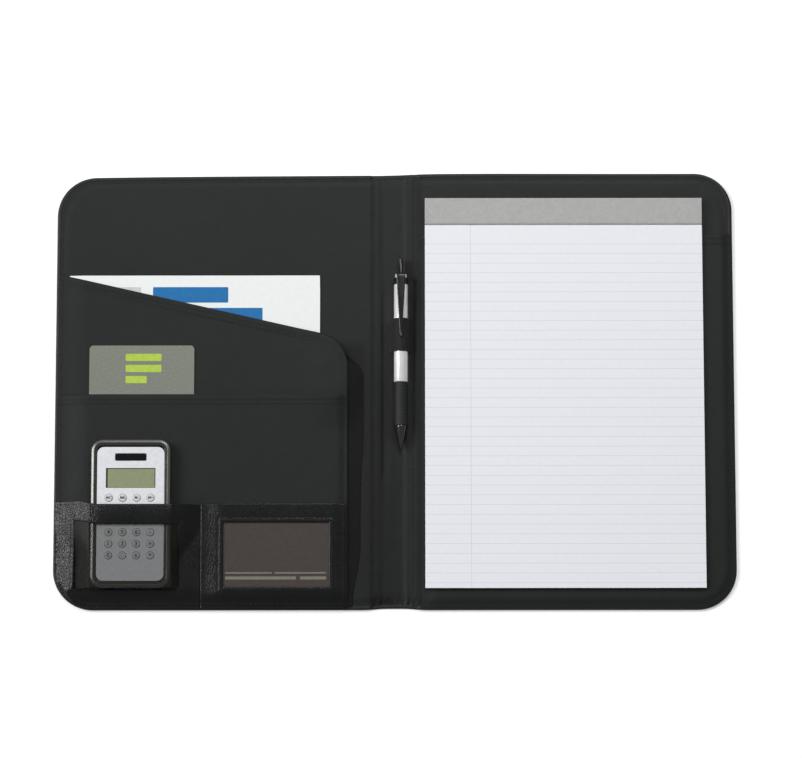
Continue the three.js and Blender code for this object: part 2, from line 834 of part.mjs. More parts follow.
function calculatorFaceplate() {
  const solarSeat = middleRectangle(solarCellTop, solarCellWidth, solarCellHeight, clearance);
  const displayHole = middleRectangle(displayTop, displayWidth, displayHeight, clearance);
  let face = plate(faceplateOutline(0), faceplateLow, faceplateTop);
  face = face.subtract(plate(solarSeat, faceplateTop - solarCellThickness, faceplateTop + 1));
  face = face.subtract(plate(displayHole, faceplateLow - 1, faceplateTop + 1));
  for (const { x, y } of keyPlaces()) {
    face = face.subtract(keyCylinder(x, y, keyRadius + keyHoleGap, faceplateLow - 1, faceplateTop + 1));
  }
  return face;
}

// A key has a cap, a flange that stops it under the faceplate, and a stem over its contact.
function calculatorKey() {
  const flangeTop = faceplateLow - clearance;
  const flangeLow = flangeTop - keyFlangeHeight;
  const cap = keyCylinder(0, 0, keyRadius, flangeLow, faceplateTop + keyProud);
  const flange = keyCylinder(0, 0, keyRadius + keyFlangeWidth, flangeLow, flangeTop);
  const stem = keyCylinder(0, 0, keyStemRadius, circuitTop + clearance + keyTravel, flangeTop);
  return cap.add(flange).add(stem);
}

// Assemblies
function covers() {
  const boardTop = skinThickness + boardThickness;
  const group = new THREE.Group();
  for (const [name, side] of [["front", -1], ["back", 1]]) {
    group.add(
      piece(`${name}_skin`, coverSkin(side), coverFinish),
      piece(`${name}_board`, coverLayer(side, skinThickness, boardTop), boardFinish),
      piece(`${name}_lining`, coverLayer(side, boardTop, coverTop), liningFinish),
    );
  }
  group.add(
    piece("spine_skin", spineLayer(skinFoldGap, 0, skinThickness), coverFinish),
    piece("spine_lining", spineLayer(foldGap, skinThickness, spineTop), liningFinish),
    piece("pen_loop", penLoop(), panelFinish),
  );
  return group;
}

function pockets() {
  const badgeFilm = plate(badgeWindow(badgeFilmLap), badgeFilmLow, badgePanelLow);
  const badgeCard = plate(badgeWindow(badgeFilmLap), cardPanelTop, cardPanelTop + badgeCardThickness);
  const group = new THREE.Group();
  group.add(
    piece("pad_pocket", padPocket(), panelFinish),
    piece("document_gusset", plate(gussetOutline(), coverTop, coverTop + gussetThickness), panelFinish),
    piece("document_pocket", documentPocket(), panelFinish),
    piece("card_pocket", cardPocket(), panelFinish),
    piece("calculator_pocket", calculatorPocket(), frameFinish),
    piece("badge_pocket", badgePocket(), frameFinish),
    piece("badge_window", badgeFilm, filmFinish),
    piece("badge_card", badgeCard, badgeCardFinish),
    piece("brochure", brochure(), paperFinish),
    piece("business_card", businessCard(), silverCardFinish),
  );
  return group;
}

function pad() {
  const group = new THREE.Group();
  group.add(
    piece("pad_backing", padBacking(), boardFinish),
    piece("pad_sheets", padSheets(), paperFinish),
    piece("pad_top_sheet", padTopSheet(), paperFinish),
    piece("pad_binding", padBinding(), headerFinish),
  );
  return group;
}

function pen() {
  const group = new THREE.Group();
  group.position.set(penX, penTipY, penZ);
  group.add(
    piece("pen_barrel", penBarrel(), steelFinish),
    piece("pen_grip", penGrip(), gripFinish),
    piece("pen_tip", penTip(), steelFinish),
    piece("pen_clip", penClip(), steelFinish),
    piece("pen_button", penButton(), steelFinish),
    piece("pen_refill", penRefill(), inkFinish),
    piece("pen_spring", penSpring(), steelFinish),
  );
  return group;
}

function calculator() {
  const boardInset = caseWall + circuitBoardInset;
  const circuit = plate(calculatorOutline(boardInset), boardHeight, circuitTop);
  const cellOutline = middleRectangle(solarCellTop, solarCellWidth, solarCellHeight);
  const displayOutline = middleRectangle(displayTop, displayWidth, displayHeight);
  const cellLow = faceplateTop - solarCellThickness;
  const group = new THREE.Group();
  group.position.set(calculatorX, calculatorY, cardPanelTop);
  group.add(
    piece("calculator_case", calculatorCase(), blackPlasticFinish),
    piece("calculator_board", circuit, circuitFinish),
    piece("calculator_bezel", calculatorBezel(), blackPlasticFinish),
    piece("calculator_faceplate", calculatorFaceplate(), faceFinish),
    piece("calculator_solar_cell", plate(cellOutline, cellLow, faceplateTop - 0.1), cellFinish),
    piece("calculator_display", plate(displayOutline, circuitTop, faceplateTop - displaySink), displayFinish),
  );
  for (const { row, column, x, y } of keyPlaces()) {
    const key = piece(`calculator_key_r${row}_c${column}`, calculatorKey(), keyFinish);
    key.position.set(x, y, 0);
    group.add(key);
  }
  return group;
}

// The least gap between two turns of the spring, measured on points along its wire.
function springGap() {
  const steps = springSteps * penSpringTurns;
  const rise = penSpringLength - penSpringWire;
  let least = Infinity;
  for (let first = 0; first <= steps; first += 1) {
    for (let second = first + springSteps / 2; second <= steps; second += 1) {
      const turn = (2 * Math.PI * (second - first)) / springSteps;
      const across = 2 * penSpringRadius * Math.sin(turn / 2);
      const along = (rise * (second - first)) / steps;
      least = Math.min(least, Math.hypot(across, along) - penSpringWire);
    }
  }
  return least;
}
console.log(`least gap between turns of pen_spring: ${springGap().toFixed(2)} mm`);

const folder = new THREE.Group();
folder.add(covers(), pockets(), pad(), pen(), calculator());

export default folder;
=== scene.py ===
import math

import bpy
import bmesh
import numpy as np
from mathutils import Matrix, Quaternion, Vector


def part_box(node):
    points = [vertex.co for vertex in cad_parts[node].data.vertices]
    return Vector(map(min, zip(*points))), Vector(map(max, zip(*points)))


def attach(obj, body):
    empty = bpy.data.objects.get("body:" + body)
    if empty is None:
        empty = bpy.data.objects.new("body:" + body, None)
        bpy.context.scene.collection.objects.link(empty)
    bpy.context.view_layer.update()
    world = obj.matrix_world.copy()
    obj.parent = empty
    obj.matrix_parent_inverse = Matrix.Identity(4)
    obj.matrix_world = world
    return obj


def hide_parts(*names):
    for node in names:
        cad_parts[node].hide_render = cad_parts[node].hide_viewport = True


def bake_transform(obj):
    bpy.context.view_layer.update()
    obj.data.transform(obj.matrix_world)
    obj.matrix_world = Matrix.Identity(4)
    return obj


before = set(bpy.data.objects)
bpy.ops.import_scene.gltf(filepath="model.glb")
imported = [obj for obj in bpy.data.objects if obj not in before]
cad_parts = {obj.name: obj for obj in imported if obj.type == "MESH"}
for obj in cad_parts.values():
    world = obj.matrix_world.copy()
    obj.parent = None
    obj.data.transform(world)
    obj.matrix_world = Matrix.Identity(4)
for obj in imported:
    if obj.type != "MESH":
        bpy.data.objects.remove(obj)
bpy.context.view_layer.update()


# ------------ Camera
# The folder is seen from above its bottom edge, from 3 m away and 9.5 degrees off the vertical.
def added(name, data):
    """A new object in the scene."""
    made = bpy.data.objects.new(name, data)
    bpy.context.scene.collection.objects.link(made)
    return made


def faced(made, place, direction, roll=0.0):
    """Puts a camera or a lamp at a place, to look in a direction, and rolls it about that line."""
    made.location, made.rotation_mode = place, "QUATERNION"
    made.rotation_quaternion = direction.to_track_quat("-Z", "Y") @ Quaternion((0, 0, 1), roll)
    return made


AIM = Vector((0.004652, 0.009488, 0))
DISTANCE, ELEVATION, ROLL = 3.01394, math.radians(80.527), math.radians(-0.047)
BACK = Vector((0, -math.cos(ELEVATION), math.sin(ELEVATION)))
camera = faced(added("camera", bpy.data.cameras.new("camera")), AIM + DISTANCE * BACK, -BACK, ROLL)
camera.data.sensor_width, camera.data.lens = 36, 179.16
camera.data.clip_start, camera.data.clip_end = 0.1, 20
bpy.context.scene.camera = camera
bpy.context.scene.view_settings.view_transform = "Standard"

# ------------ Outer skin
# One skin of black grained leathercloth wraps both covers and the spine. It is glued under the boards,
# rises round their edges and is turned in over the top, where the lining covers its cut edge.
# Lengths in the sections are millimetres, with X across, Y up the page and Z up from the table.
COVER_REACH, COVER_HALF_HEIGHT, COVER_CORNER = 256, 166, 30
CORNER_X, CORNER_Y = COVER_REACH - COVER_CORNER, COVER_HALF_HEIGHT - COVER_CORNER


def smooth(value):
    """An S-curve: 0 below 0, 1 above 1 and three t squared less two t cubed between."""
    t = np.clip(value, 0, 1)
    return t * t * (3 - 2 * t)


def ripple(x, y, length, seed):
    """Soft unevenness from -1 to 1: the mean of six sine waves about that long, in scattered directions."""
    total = np.zeros(np.broadcast(x, y).shape)
    for k, (turn, start) in enumerate(np.random.default_rng(seed).uniform(0, 2 * np.pi, (6, 2))):
        wave = length * (0.6 + 0.18 * k)
        total += np.sin(2 * np.pi * (x * np.cos(turn) + y * np.sin(turn)) / wave + start)
    return total / 6


def bunched(*marks):
    """Places from mark to mark, given as place, count, place, count ... place, which crowd towards
    each mark as a turning point's shadow does: half of one less the cosine of half a turn."""
    runs = []
    for low, count, high in zip(marks[:-2:2], marks[1:-1:2], marks[2::2]):
        runs.append(low + (high - low) * (0.5 - 0.5 * np.cos(np.linspace(0, np.pi, count + 1)))[:-1])
    return np.concatenate([*runs, [marks[-1]]])


def stacked(*parts):
    """Points from their coordinates, each given for every point or once for a row or a column."""
    return np.stack(np.broadcast_arrays(*parts), -1)


def grid_faces(points, first=0, ring=None, flip=False):
    """Four-sided faces between the neighbours of a grid of points, stored row by row. Along the axis
    called ring the last points join the first."""
    corner = first + np.arange(points[..., 0].size).reshape(points.shape[:2])
    if ring is not None:
        corner = np.concatenate([corner, corner.take([0], ring)], ring)
    faces = np.stack([corner[:-1, :-1], corner[:-1, 1:], corner[1:, 1:], corner[1:, :-1]], -1).reshape(-1, 4)
    return faces[:, ::-1] if flip else faces


def evaluated(made):
    """The mesh that an object comes to with its modifiers, or as type."""
    return bpy.data.meshes.new_from_object(made.evaluated_get(bpy.context.evaluated_depsgraph_get()))


def build(name, points, faces, material, slot, wall=0, flat_faces=False):
    """A mesh object from points in millimetres and lists of corners, with its doubled points merged. A
    wall is added on the side away from where the faces point."""
    mesh = bpy.data.meshes.new(name)
    mesh.from_pydata((np.asarray(points, float).reshape(-1, 3) / 1000).tolist(), [], [list(f) for f in faces])
    work = bmesh.new()
    work.from_mesh(mesh)
    bmesh.ops.remove_doubles(work, verts=work.verts, dist=2e-6)
    work.to_mesh(mesh)
    work.free()
    mesh.polygons.foreach_set("use_smooth", [not flat_faces] * len(mesh.polygons))
    made = added(name, mesh)
    made.data.materials.append(material)
    if wall:
        solid = made.modifiers.new("wall", "SOLIDIFY")
        solid.thickness, solid.offset, solid.use_even_offset = wall / 1000, -1, True
        made.data = evaluated(made)
        made.modifiers.clear()
    return made


def linear(*levels):
    """A colour given by its three display levels from 0 to 255, as the light it sends back."""
    share = np.array(levels, float) / 255
    return (*np.where(share > 0.04045, ((share + 0.055) / 1.055) ** 2.4, share / 12.92), 1)


class Paint:
    """A material in the making. Its sockets are named in words joined by underscores."""

    def __init__(self, name, **sockets):
        self.material = bpy.data.materials.new(name)
        self.material.use_nodes = True
        self.tree = self.material.node_tree
        self.surface = self.tree.nodes["Principled BSDF"]
        for socket, value in sockets.items():
            self.surface.inputs[socket.replace("_", " ")].default_value = value
        self.place = self.node("TexCoord")["Object"]

    def node(self, kind, inputs=None, **settings):
        """Adds a node and gives its outputs. An input takes a value, or the socket that feeds it."""
        made = self.tree.nodes.new("ShaderNode" + kind)
        for name, value in settings.items():
            setattr(made, name, value)
        for name, value in (inputs or {}).items():
            if isinstance(value, bpy.types.NodeSocket):
                self.tree.links.new(value, made.inputs[name])
            else:
                made.inputs[name].default_value = value
        return made.outputs

    def feed(self, socket, value):
        """Leads a value into the surface."""
        self.tree.links.new(value, self.surface.inputs[socket])

    def noise(self, scale, detail, stretch=None):
        """Soft noise from 0 to 1, in space or in a space stretched by three factors."""
        place = self.place
        if stretch:
            place = self.node("Mapping", {"Vector": place, "Scale": stretch})["Vector"]
        return self.node("TexNoise", {"Vector": place, "Scale": scale, "Detail": detail})["Fac"]

    def maths(self, operation, first, second=0.0, **settings):
        """One operation on two values."""
        return self.node("Math", {0: first, 1: second}, operation=operation, **settings)[0]

    def axis(self, name):
        """The place along X, Y or Z, in metres."""
        return self.node("SeparateXYZ", {"Vector": self.place})[name]

    def ranged(self, value, low, high, to_low, to_high, **settings):
        """Carries a value from the range low to high over to another range."""
        limits = {"Value": value, "From Min": low, "From Max": high, "To Min": to_low, "To Max": to_high}
        return self.node("MapRange", limits, **settings)["Result"]

    def faded(self, axis, low, high, to_low=0.0, to_high=1.0):
        """An S-curve along an axis, from one value at low to another at high, in millimetres."""
        limits = low / 1000, high / 1000, to_low, to_high
        return self.ranged(self.axis(axis), *limits, interpolation_type="SMOOTHSTEP")

    def mixed(self, first, second, share=1.0, **settings):
        """Mixes the second colour into the first by a share."""
        return self.node("Mix", {"Factor": share, 6: first, 7: second}, data_type="RGBA", **settings)[2]

    def speckled(self, colour, scale, spread, detail=3):
        """A colour that noise makes darker and lighter by up to the spread."""
        ramp = self.tree.nodes.new("ShaderNodeValToRGB")
        self.tree.links.new(self.noise(scale, detail), ramp.inputs["Fac"])
        for element, position, way in zip(ramp.color_ramp.elements, (0.3, 0.7), (-1, 1)):
            element.position = position
            element.color = [min(1, c * (1 + way * spread)) for c in colour[:3]] + [1]
        return ramp.outputs["Color"]

    def tint(self, *speckles):
        """Gives the surface a speckled colour."""
        self.feed("Base Color", self.speckled(*speckles))

    def raised(self, height, depth, below=None):
        """Raises the surface by a height from 0 to 1, times that depth in millimetres."""
        inputs = {"Height": height, "Distance": depth / 1000, "Strength": 1.0}
        if below is not None:
            inputs["Normal"] = below
        normal = self.node("Bump", inputs)["Normal"]
        self.feed("Normal", normal)
        return normal


def leathercloth(name, colour, roughness, grain, depth, shine, pressed=None):
    """Coated cloth: pebbles between the cracks of a cell pattern, over soft dents, with worn gloss. pressed
    is (x0, x1, share): from x0 to x1 the pebbles go down to that share of their height."""
    paint = Paint(name, Specular_IOR_Level=shine)
    cells = {"Vector": paint.place, "Scale": 1000 / grain}
    crack = paint.node("TexVoronoi", cells, feature="DISTANCE_TO_EDGE")["Distance"]
    height = paint.faded("X", *pressed[:2], 1.0, pressed[2]) if pressed else 1.0
    pebble = paint.ranged(crack, 0.0, 0.25, 0.0, height)
    soft = paint.raised(paint.noise(110, 1), 0.05)
    paint.raised(pebble, depth, soft)
    paint.tint(colour, 300, 0.18)
    paint.feed("Roughness", paint.ranged(paint.noise(45, 4), 0.3, 0.7, roughness - 0.04, roughness + 0.05))
    return paint.material


def cover_columns(inset):
    """Distances from the middle out, close together over the spine, and with the corner's arc taken in
    even turns."""
    runs = [np.linspace(*run)[:-1] for run in ((0, 14, 25), (14, 21, 25), (21, CORNER_X, 48))]
    return np.concatenate([*runs, CORNER_X + (COVER_CORNER - inset) * np.sin(np.linspace(0, np.pi / 2, 15))])


def edge_height(x, inset):
    """How far the outline reaches from the middle line at x: straight, with round outer corners."""
    beyond = np.clip(np.abs(x) - CORNER_X, 0, None)
    return CORNER_Y + np.sqrt(np.clip((COVER_CORNER - inset) ** 2 - beyond**2, 0, None))


def top_edge(x, inset):
    """The top edge. The skin has pulled the left cover down and the right cover up by up to 1.5 mm."""
    marks = [-256, -225, -179, -110, -34, -11, 4, 12, 34, 80, 172, 225, 240, 256]
    pull = np.interp(x, marks, [-1.5, -1.5, -0.9, -0.4, 0, 0.1, 0.5, 0.9, 1.4, 1.5, 1.3, 1.3, 1.9, 2.6])
    return edge_height(x, inset) + pull


def bottom_edge(x, inset):
    """The bottom edge, pinched by 1.1 mm where the spine is sewn."""
    return 1.1 * np.exp(-((x / 17) ** 4)) - edge_height(x, inset)


def skin_half(name, side):
    """The underside is a grid. From its edge the rim carries a profile outwards, up and in over the top:
    a point is the edge point plus its outward direction times the profile's reach, at its height."""
    inset, rows = 1.6, 41
    x = cover_columns(inset)
    high, low = top_edge(side * x, inset), bottom_edge(side * x, inset)
    base = stacked(x, low + (high - low) * np.linspace(0, 1, rows)[:, None], 0.0)
    out_x = np.clip((x - CORNER_X) / (COVER_CORNER - inset), 0, 1)
    ends = stacked(out_x, np.sqrt(1 - out_x**2))
    edge = np.concatenate([base[0], base[1:-1, -1], base[-1, ::-1]])[:, :2]
    outward = np.concatenate([ends * [1, -1], np.tile([1.0, 0.0], (rows - 2, 1)), ends[::-1]])
    profile = np.array(
        [(0, 0), (0.6, 0.02), (1.15, 0.25), (1.5, 0.7), (1.6, 1.3), (1.6, 1.9), (1.4, 2.45),
         (0.9, 2.8), (0.4, 2.95), (-0.5, 2.97), (-1, 2.92), (-1.25, 2.75), (-1.3, 2.45)]
    )
    over_spine = 0.56 + 0.44 * smooth((np.abs(edge[:, 0]) - 16.5) / 2.5)
    level = profile[:, None, 1:] * over_spine[:, None]
    rim = np.concatenate([edge + outward * profile[:, None, :1], level], -1)
    points = np.concatenate([base.reshape(-1, 3), rim.reshape(-1, 3)])
    faces = np.concatenate([grid_faces(base, flip=True), grid_faces(rim, first=base[..., 0].size)])
    if side < 0:
        points, faces = points * [-1, 1, 1], faces[:, ::-1]
    return build(name, points, faces, SKIN, "cover", wall=0.6)


def halves(name, layer, half):
    """Both halves of a covering. Each lies on its cover's board. It passes from cover to spine between
    two distances from the middle line, and its border there is sharp, so that the two shade as one."""
    for side, end, board, bodies, parts in (
        (-1, "left", "front_board", ("front_cover", "spine"), ("front", "spine")),
        (1, "right", "back_board", ("spine", "back_cover"), ("back",)),
    ):
        made = half(f"{name}_{end}", side)
        for edge in made.data.edges:
            edge.use_edge_sharp = all(abs(made.data.vertices[k].co.x) < 0.0002 for k in edge.vertices)
        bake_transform(made)
        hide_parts(*[f"{part}_{layer}" for part in parts])


SKIN = leathercloth(
    "grained black leathercloth", linear(26, 27, 27), roughness=0.5, grain=1.1, depth=0.05, shine=0.3
)
halves("outer_skin", "skin", skin_half)


# ------------ Boards
# Grey pressed board stiffens each cover between the skin and the lining. It shows nowhere.
def plain(name, colour, mottle, grain=None, **sockets):
    """A mottled colour over a fine grain. Mottle is (scale, share) and grain (scale, detail, depth), with
    three stretch factors after them where the grain has a direction."""
    paint = Paint(name, **sockets)
    paint.tint(colour, *mottle)
    if grain:
        scale, detail, depth, *stretch = grain
        paint.raised(paint.noise(scale, detail, *stretch), depth)
    return paint.material


def dress(node, material):
    """Gives the mesh of a CAD node a material."""
    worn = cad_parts[node].data.materials
    worn.clear()
    worn.append(material)


BOARD = plain("grey pressed board", linear(120, 118, 112), (900, 0.2), (1200, 4, 0.1), Roughness=0.9)
dress("front_board", BOARD)
dress("back_board", BOARD)

# ------------ Lining
# Black woven nylon lines both covers and the spine. It lies on the boards, drops into the spine
# over their edges, and is creased and lightly wrinkled there.
LINING_TOP, SPINE_TOP, SPINE_LOWEST = 3.0, 1.6, 1.05


def shade_in_patches(paint, colour, shade_patches):
    """Multiplies a colour inside soft-edged boxes: painted shade, where the cloth lies in shadow. A patch is
    (share, x0, x1, y0, y1, soft): its edges are S-curves, soft wide, centred on the box."""
    for share, x0, x1, y0, y1, soft in shade_patches:
        inside = 1.0
        for axis, edge, way in (("X", x0, 0.5), ("X", x1, -0.5), ("Y", y0, 0.5), ("Y", y1, -0.5)):
            ramp = paint.faded(axis, edge - way * soft, edge + way * soft)
            inside = paint.maths("MULTIPLY", inside, ramp)
        colour = paint.mixed(colour, paint.ranged(inside, 0.0, 1.0, 1.0, share), blend_type="MULTIPLY")
    return colour


def woven(name, colour, pitch, depth, sheen=0.03, shine=0.25, shade_patches=()):
    """Plain weave: two bands of threads cross, and the larger less their product is high where a thread
    lies on top. Slight unevenness of colour comes from noise at the size of a hand and of a thread, and
    painted shade darkens it inside the shade patches."""
    paint = Paint(name, Roughness=0.5, Specular_IOR_Level=shine, Sheen_Weight=sheen, Sheen_Roughness=0.4)
    wave = {"Vector": paint.place, "Scale": 314 / pitch, "Distortion": 0.15, "Detail": 0.0}
    bands = [paint.node("TexWave", wave, wave_type="BANDS", bands_direction=axis)["Fac"] for axis in "XY"]
    threads = paint.maths("SUBTRACT", paint.maths("MAXIMUM", *bands), paint.maths("MULTIPLY", *bands))
    soft = paint.raised(paint.noise(60, 3), 0.3)
    paint.raised(threads, depth, soft)
    hand, thread = paint.speckled(colour, 12, 0.1, 2), paint.speckled((1, 1, 1, 1), 900, 0.25, 1)
    paint.feed("Base Color", shade_in_patches(paint, paint.mixed(hand, thread, blend_type="MULTIPLY"), shade_patches))
    return paint.material


def bell(value):
    """A bell curve: e to the power of minus the value squared."""
    return np.exp(-(value**2))


def rim_depth(x, y):
    """Distance to the cover's outline: to its straight edges, and in the corners to the round."""
    beyond = np.abs(x) - CORNER_X
    over = np.maximum(y - top_edge(x, 0), bottom_edge(x, 0) - y) + COVER_CORNER
    corner = COVER_CORNER - np.hypot(beyond, over)
    return np.where((beyond > 0) & (over > 0), corner, COVER_CORNER - np.maximum(beyond, over))


def lining_level(x, y):
    """Height of the lining: the covers' level, with a soft step down to the spine, longer on the right.
    Along the spine run a slope at x = -10.5, a narrow fold beside the pen, a seam at x = 14.2 and a step up
    at x = 7 above and below the loop. Its two ends dip and are wrinkled. The seam along the covers' edges
    draws it down by 0.3 mm."""
    cover = np.where(x < 0, smooth((-x - 15.2) / 4.2), smooth((x - 10.5) / 9.5))
    beside_pen = smooth((y + 75) / 20) * smooth((85 - y) / 20)
    clear_of_loop = smooth((y - 66) / 14) + smooth((16 - y) / 14)
    left = 0.7 * smooth((-7.5 - x) / 6.5)
    right = 0.62 * smooth((x - 4.9) / 5.0) * clear_of_loop
    fold = 0.5 * beside_pen * smooth((x + 10.6) / 2.2) * smooth((-1 - x) / 6.5)
    seam = 0.12 * bell((x - 14.2) / 0.8)
    ends = smooth((-152 - y) / 11) + 0.5 * smooth((y - 156) / 9)
    wrinkle = ends * (0.45 * ripple(x, y * 0.3, 5, 61) + 0.25 * ripple(x, y, 3, 62) - 0.55)
    wrinkle = wrinkle + 0.12 * ripple(x, y * 0.2, 12, 6) * clear_of_loop
    spine = np.maximum(SPINE_TOP + left + right - fold - seam + wrinkle, SPINE_LOWEST)
    drawn = 0.3 * (1 - smooth((rim_depth(x, y) - 4.7) / 4))
    return cover * (LINING_TOP - drawn + 0.03 * (ripple(x, y, 60, 5) - 1)) + (1 - cover) * spine


def levelled(x, y, level):
    """Points at places x and y and at the level there."""
    x, y = np.broadcast_arrays(x, y)
    return stacked(x, y, level(x, y))


def lining_half(name, side):
    """A grid over one half, at the lining's height, that ends under the turned edge of the skin."""
    inset = 2.5
    x = side * cover_columns(inset)
    high, low = top_edge(x, inset), bottom_edge(x, inset)
    points = levelled(x, low + (high - low) * bunched(0, 160, 1)[:, None], lining_level)
    return build(name, points, grid_faces(points, flip=side < 0), CLOTH, "lining", wall=0.4)


# Painted shade on the lining: darker in the lower spine, in a soft shadow beside the gusset's top, between
# the fold and the pen, in the pen crown's shadow, right of the spine and at the wrinkled bottom end.
LINING_PAINTED_SHADE = [
    (0.55, -28, 5, -200, 25, 22), (0.1, -52, -22.5, -50, 36, 9), (0.15, -8, -1, -38, 52, 6),
    (0.0, 9, 17.5, 82, 99, 5), (0.4, 13, 21, -200, 200, 3), (0.0, -17, -2, -200, -157, 4),
    (0.4, 8, 24, -200, -157, 5),
]
CLOTH = woven("black woven lining", linear(23, 26, 25), pitch=0.55, depth=0.024, shade_patches=LINING_PAINTED_SHADE)
halves("lining", "lining", lining_half)


# ------------ Document pocket
# A large panel of the same nylon is sewn along the cover's outer and bottom edges. Its top edge slants
# down to the spine and turns into the free edge in a curve. Both are hemmed.
def hem(distance, width=6.5):
    """Height added by a folded hem: a step up near the edge and a groove along its stitches."""
    step = 0.28 * (1 - smooth((distance - width) / 0.8))
    return step - 0.28 * bell((distance - width + 1.6) / 0.5) - 0.3 * (1 - smooth(distance / 0.5))


def rim_fall(x, y, inset, slow=1):
    """Distance to the cover's sewn edges, outer and bottom, on the rounded outline less the inset. The
    distance to the outer edge is divided by slow, for a cloth that climbs more gently there."""
    side = (COVER_REACH - inset - np.abs(x)) / slow
    bottom = y + COVER_HALF_HEIGHT - inset
    in_corner = (np.abs(x) > CORNER_X) & (y < -CORNER_Y)
    corner = COVER_CORNER - inset - np.hypot(np.abs(x) - CORNER_X, y + CORNER_Y)
    return np.where(in_corner, corner, np.minimum(side, bottom))


def panel(name, x, marks, rows, level, material, slot, wall=0.55, hole=None):
    """A sheet over columns at x. Down each column the marks are heights on the page, rows count from 0 at
    the first mark to 1 at the next and so on, and a point's height is the level there. A hole is
    (x0, x1): it is open between them from the second mark to the third."""
    marks = np.stack([np.broadcast_to(np.asarray(mark, float), x.shape) for mark in marks])
    step = np.minimum(rows.astype(int), len(marks) - 2)
    points = levelled(x, marks[step] + (rows - step)[:, None] * (marks[step + 1] - marks[step]), level)
    faces = grid_faces(points)
    if hole:
        across, along = points.reshape(-1, 3)[faces, 0].mean(1), np.repeat(rows[:-1], len(x) - 1)
        faces = faces[~((across > hole[0]) & (across < hole[1]) & (along >= 1) & (along < 2))]
    return build(name, points, faces, material, slot, wall)


def fit(made, body, *nodes):
    """Lets a piece ride on a body, and stand for CAD nodes."""
    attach(made, body)
    if nodes:
        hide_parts(*nodes)
    return made


DOCUMENT_LEFT, DOCUMENT_RIGHT, DOCUMENT_TURN = -253.8, -35.5, 24
SLANT_LEFT, SLANT_HIGH, SLANT_LOW = -255, 89.5, 39.2


def document_columns():
    """Columns from the outer edge to the free edge, with the curve's own places at the end: a curve that
    starts along the slant and ends along the free edge has x = end - turn times (1 - t) squared."""
    curve = DOCUMENT_RIGHT - DOCUMENT_TURN * (1 - np.linspace(0, 1, 16)) ** 2
    return np.concatenate([bunched(DOCUMENT_LEFT, 40, -CORNER_X, 60, curve[0])[:-1], curve])


def document_high(x):
    """The slanted top edge, less the curve's fall: turn times t squared."""
    slope = (SLANT_LOW - SLANT_HIGH) / (DOCUMENT_RIGHT - SLANT_LEFT)
    t = 1 - np.sqrt(np.clip((DOCUMENT_RIGHT - x) / DOCUMENT_TURN, 0, 1))
    return SLANT_HIGH + slope * (x - SLANT_LEFT) - DOCUMENT_TURN * t**2


def pocket_low(x, inset):
    """The bottom edge of a pocket follows the left cover's outline."""
    return bottom_edge(np.minimum(x, -20), inset)


def gusset_lift(x, y):
    """How far the folded gusset holds the free edge up: 2.6 mm, fading inwards and towards the frames."""
    return 2.6 * smooth((x + 76) / 38) * smooth((y + 34) / 38)


def document_level(x, y):
    """Height of the panel: it climbs 1.3 mm from the sewn edge in 9 mm to lie on the papers, with soft
    waves, a hem and the gusset's lift."""
    sewn = rim_fall(x, y, 2.2, 2.4)
    free = np.minimum(document_high(x) - y, DOCUMENT_RIGHT - x)
    wave = 0.1 * (ripple(x, y, 90, 11) - 1) + 0.05 * ripple(x, y, 25, 12)
    return 3.6 + (1.3 + wave) * smooth(sewn / 9) + hem(free) + gusset_lift(x, y)


# Painted shade on the pocket cloth round the document panel's curved corner, beside the gusset's top.
POCKET_PAINTED_SHADE = [(0.82, -68, -30, -12, 62, 20)]
PANEL = woven("black woven pocket cloth", linear(23, 26, 25), pitch=0.6, depth=0.024, shade_patches=POCKET_PAINTED_SHADE)
x = document_columns()
marks = [pocket_low(x, 2.2), document_high(x)]
document = panel("document_panel", x, marks, bunched(0, 110, 1), document_level, PANEL, "pocket")
fit(document, "front_cover", "document_pocket")

# ------------ Gusset
# A strip of thin black cloth is folded like a bellows between the panel's free edge and the lining, so
# that the pocket opens for thick papers. Its fold shows beside the panel. The strip is darker than the
# lining and its fold reaches 12 mm past the panel, so it is partly painted shadow of the raised edge.
GUSSET_BOTTOM, GUSSET_TOP, GUSSET_ROOT = -163.5, 31, -41.5
GUSSET_LOW, GUSSET_HIGH, FOLD_RADIUS = 3.05, 3.9, 0.22


def gusset_strip():
    """A flattened U carried up the page: it leaves the panel's underside, turns round at the fold and
    comes back along the lining. The fold lies 12 mm past the panel, and draws in to 3.6 mm at the bottom
    and to nothing at the top, each time in S-curves."""
    y = bunched(GUSSET_BOTTOM, 100, GUSSET_TOP)[:, None]
    reach = DOCUMENT_RIGHT + 3.6 + 6.1 * smooth((y - GUSSET_BOTTOM) / 48) + 2.1 * smooth((y + 90) / 70)
    reach = reach - 14.5 * smooth((y - 8) / 23) ** 2 + 0.25 * ripple(y, 0, 60, 4)
    turn = np.linspace(0, np.pi, 13)
    upper, lower = np.linspace(0, 1, 14)[:-1], np.linspace(0, 1, 8)[1:]
    run = reach - FOLD_RADIUS - GUSSET_ROOT
    high = GUSSET_HIGH + gusset_lift(GUSSET_ROOT, y)
    drop = high - GUSSET_LOW - 2 * FOLD_RADIUS
    fold_level = GUSSET_LOW + FOLD_RADIUS * (1 + np.cos(turn))
    legs = [
        stacked(GUSSET_ROOT + run * upper, y, high - drop * upper**1.5),
        stacked(GUSSET_ROOT + run + FOLD_RADIUS * np.sin(turn), y, fold_level),
        stacked(GUSSET_ROOT + run * (1 - lower), y, GUSSET_LOW),
    ]
    return np.concatenate(legs, 1)


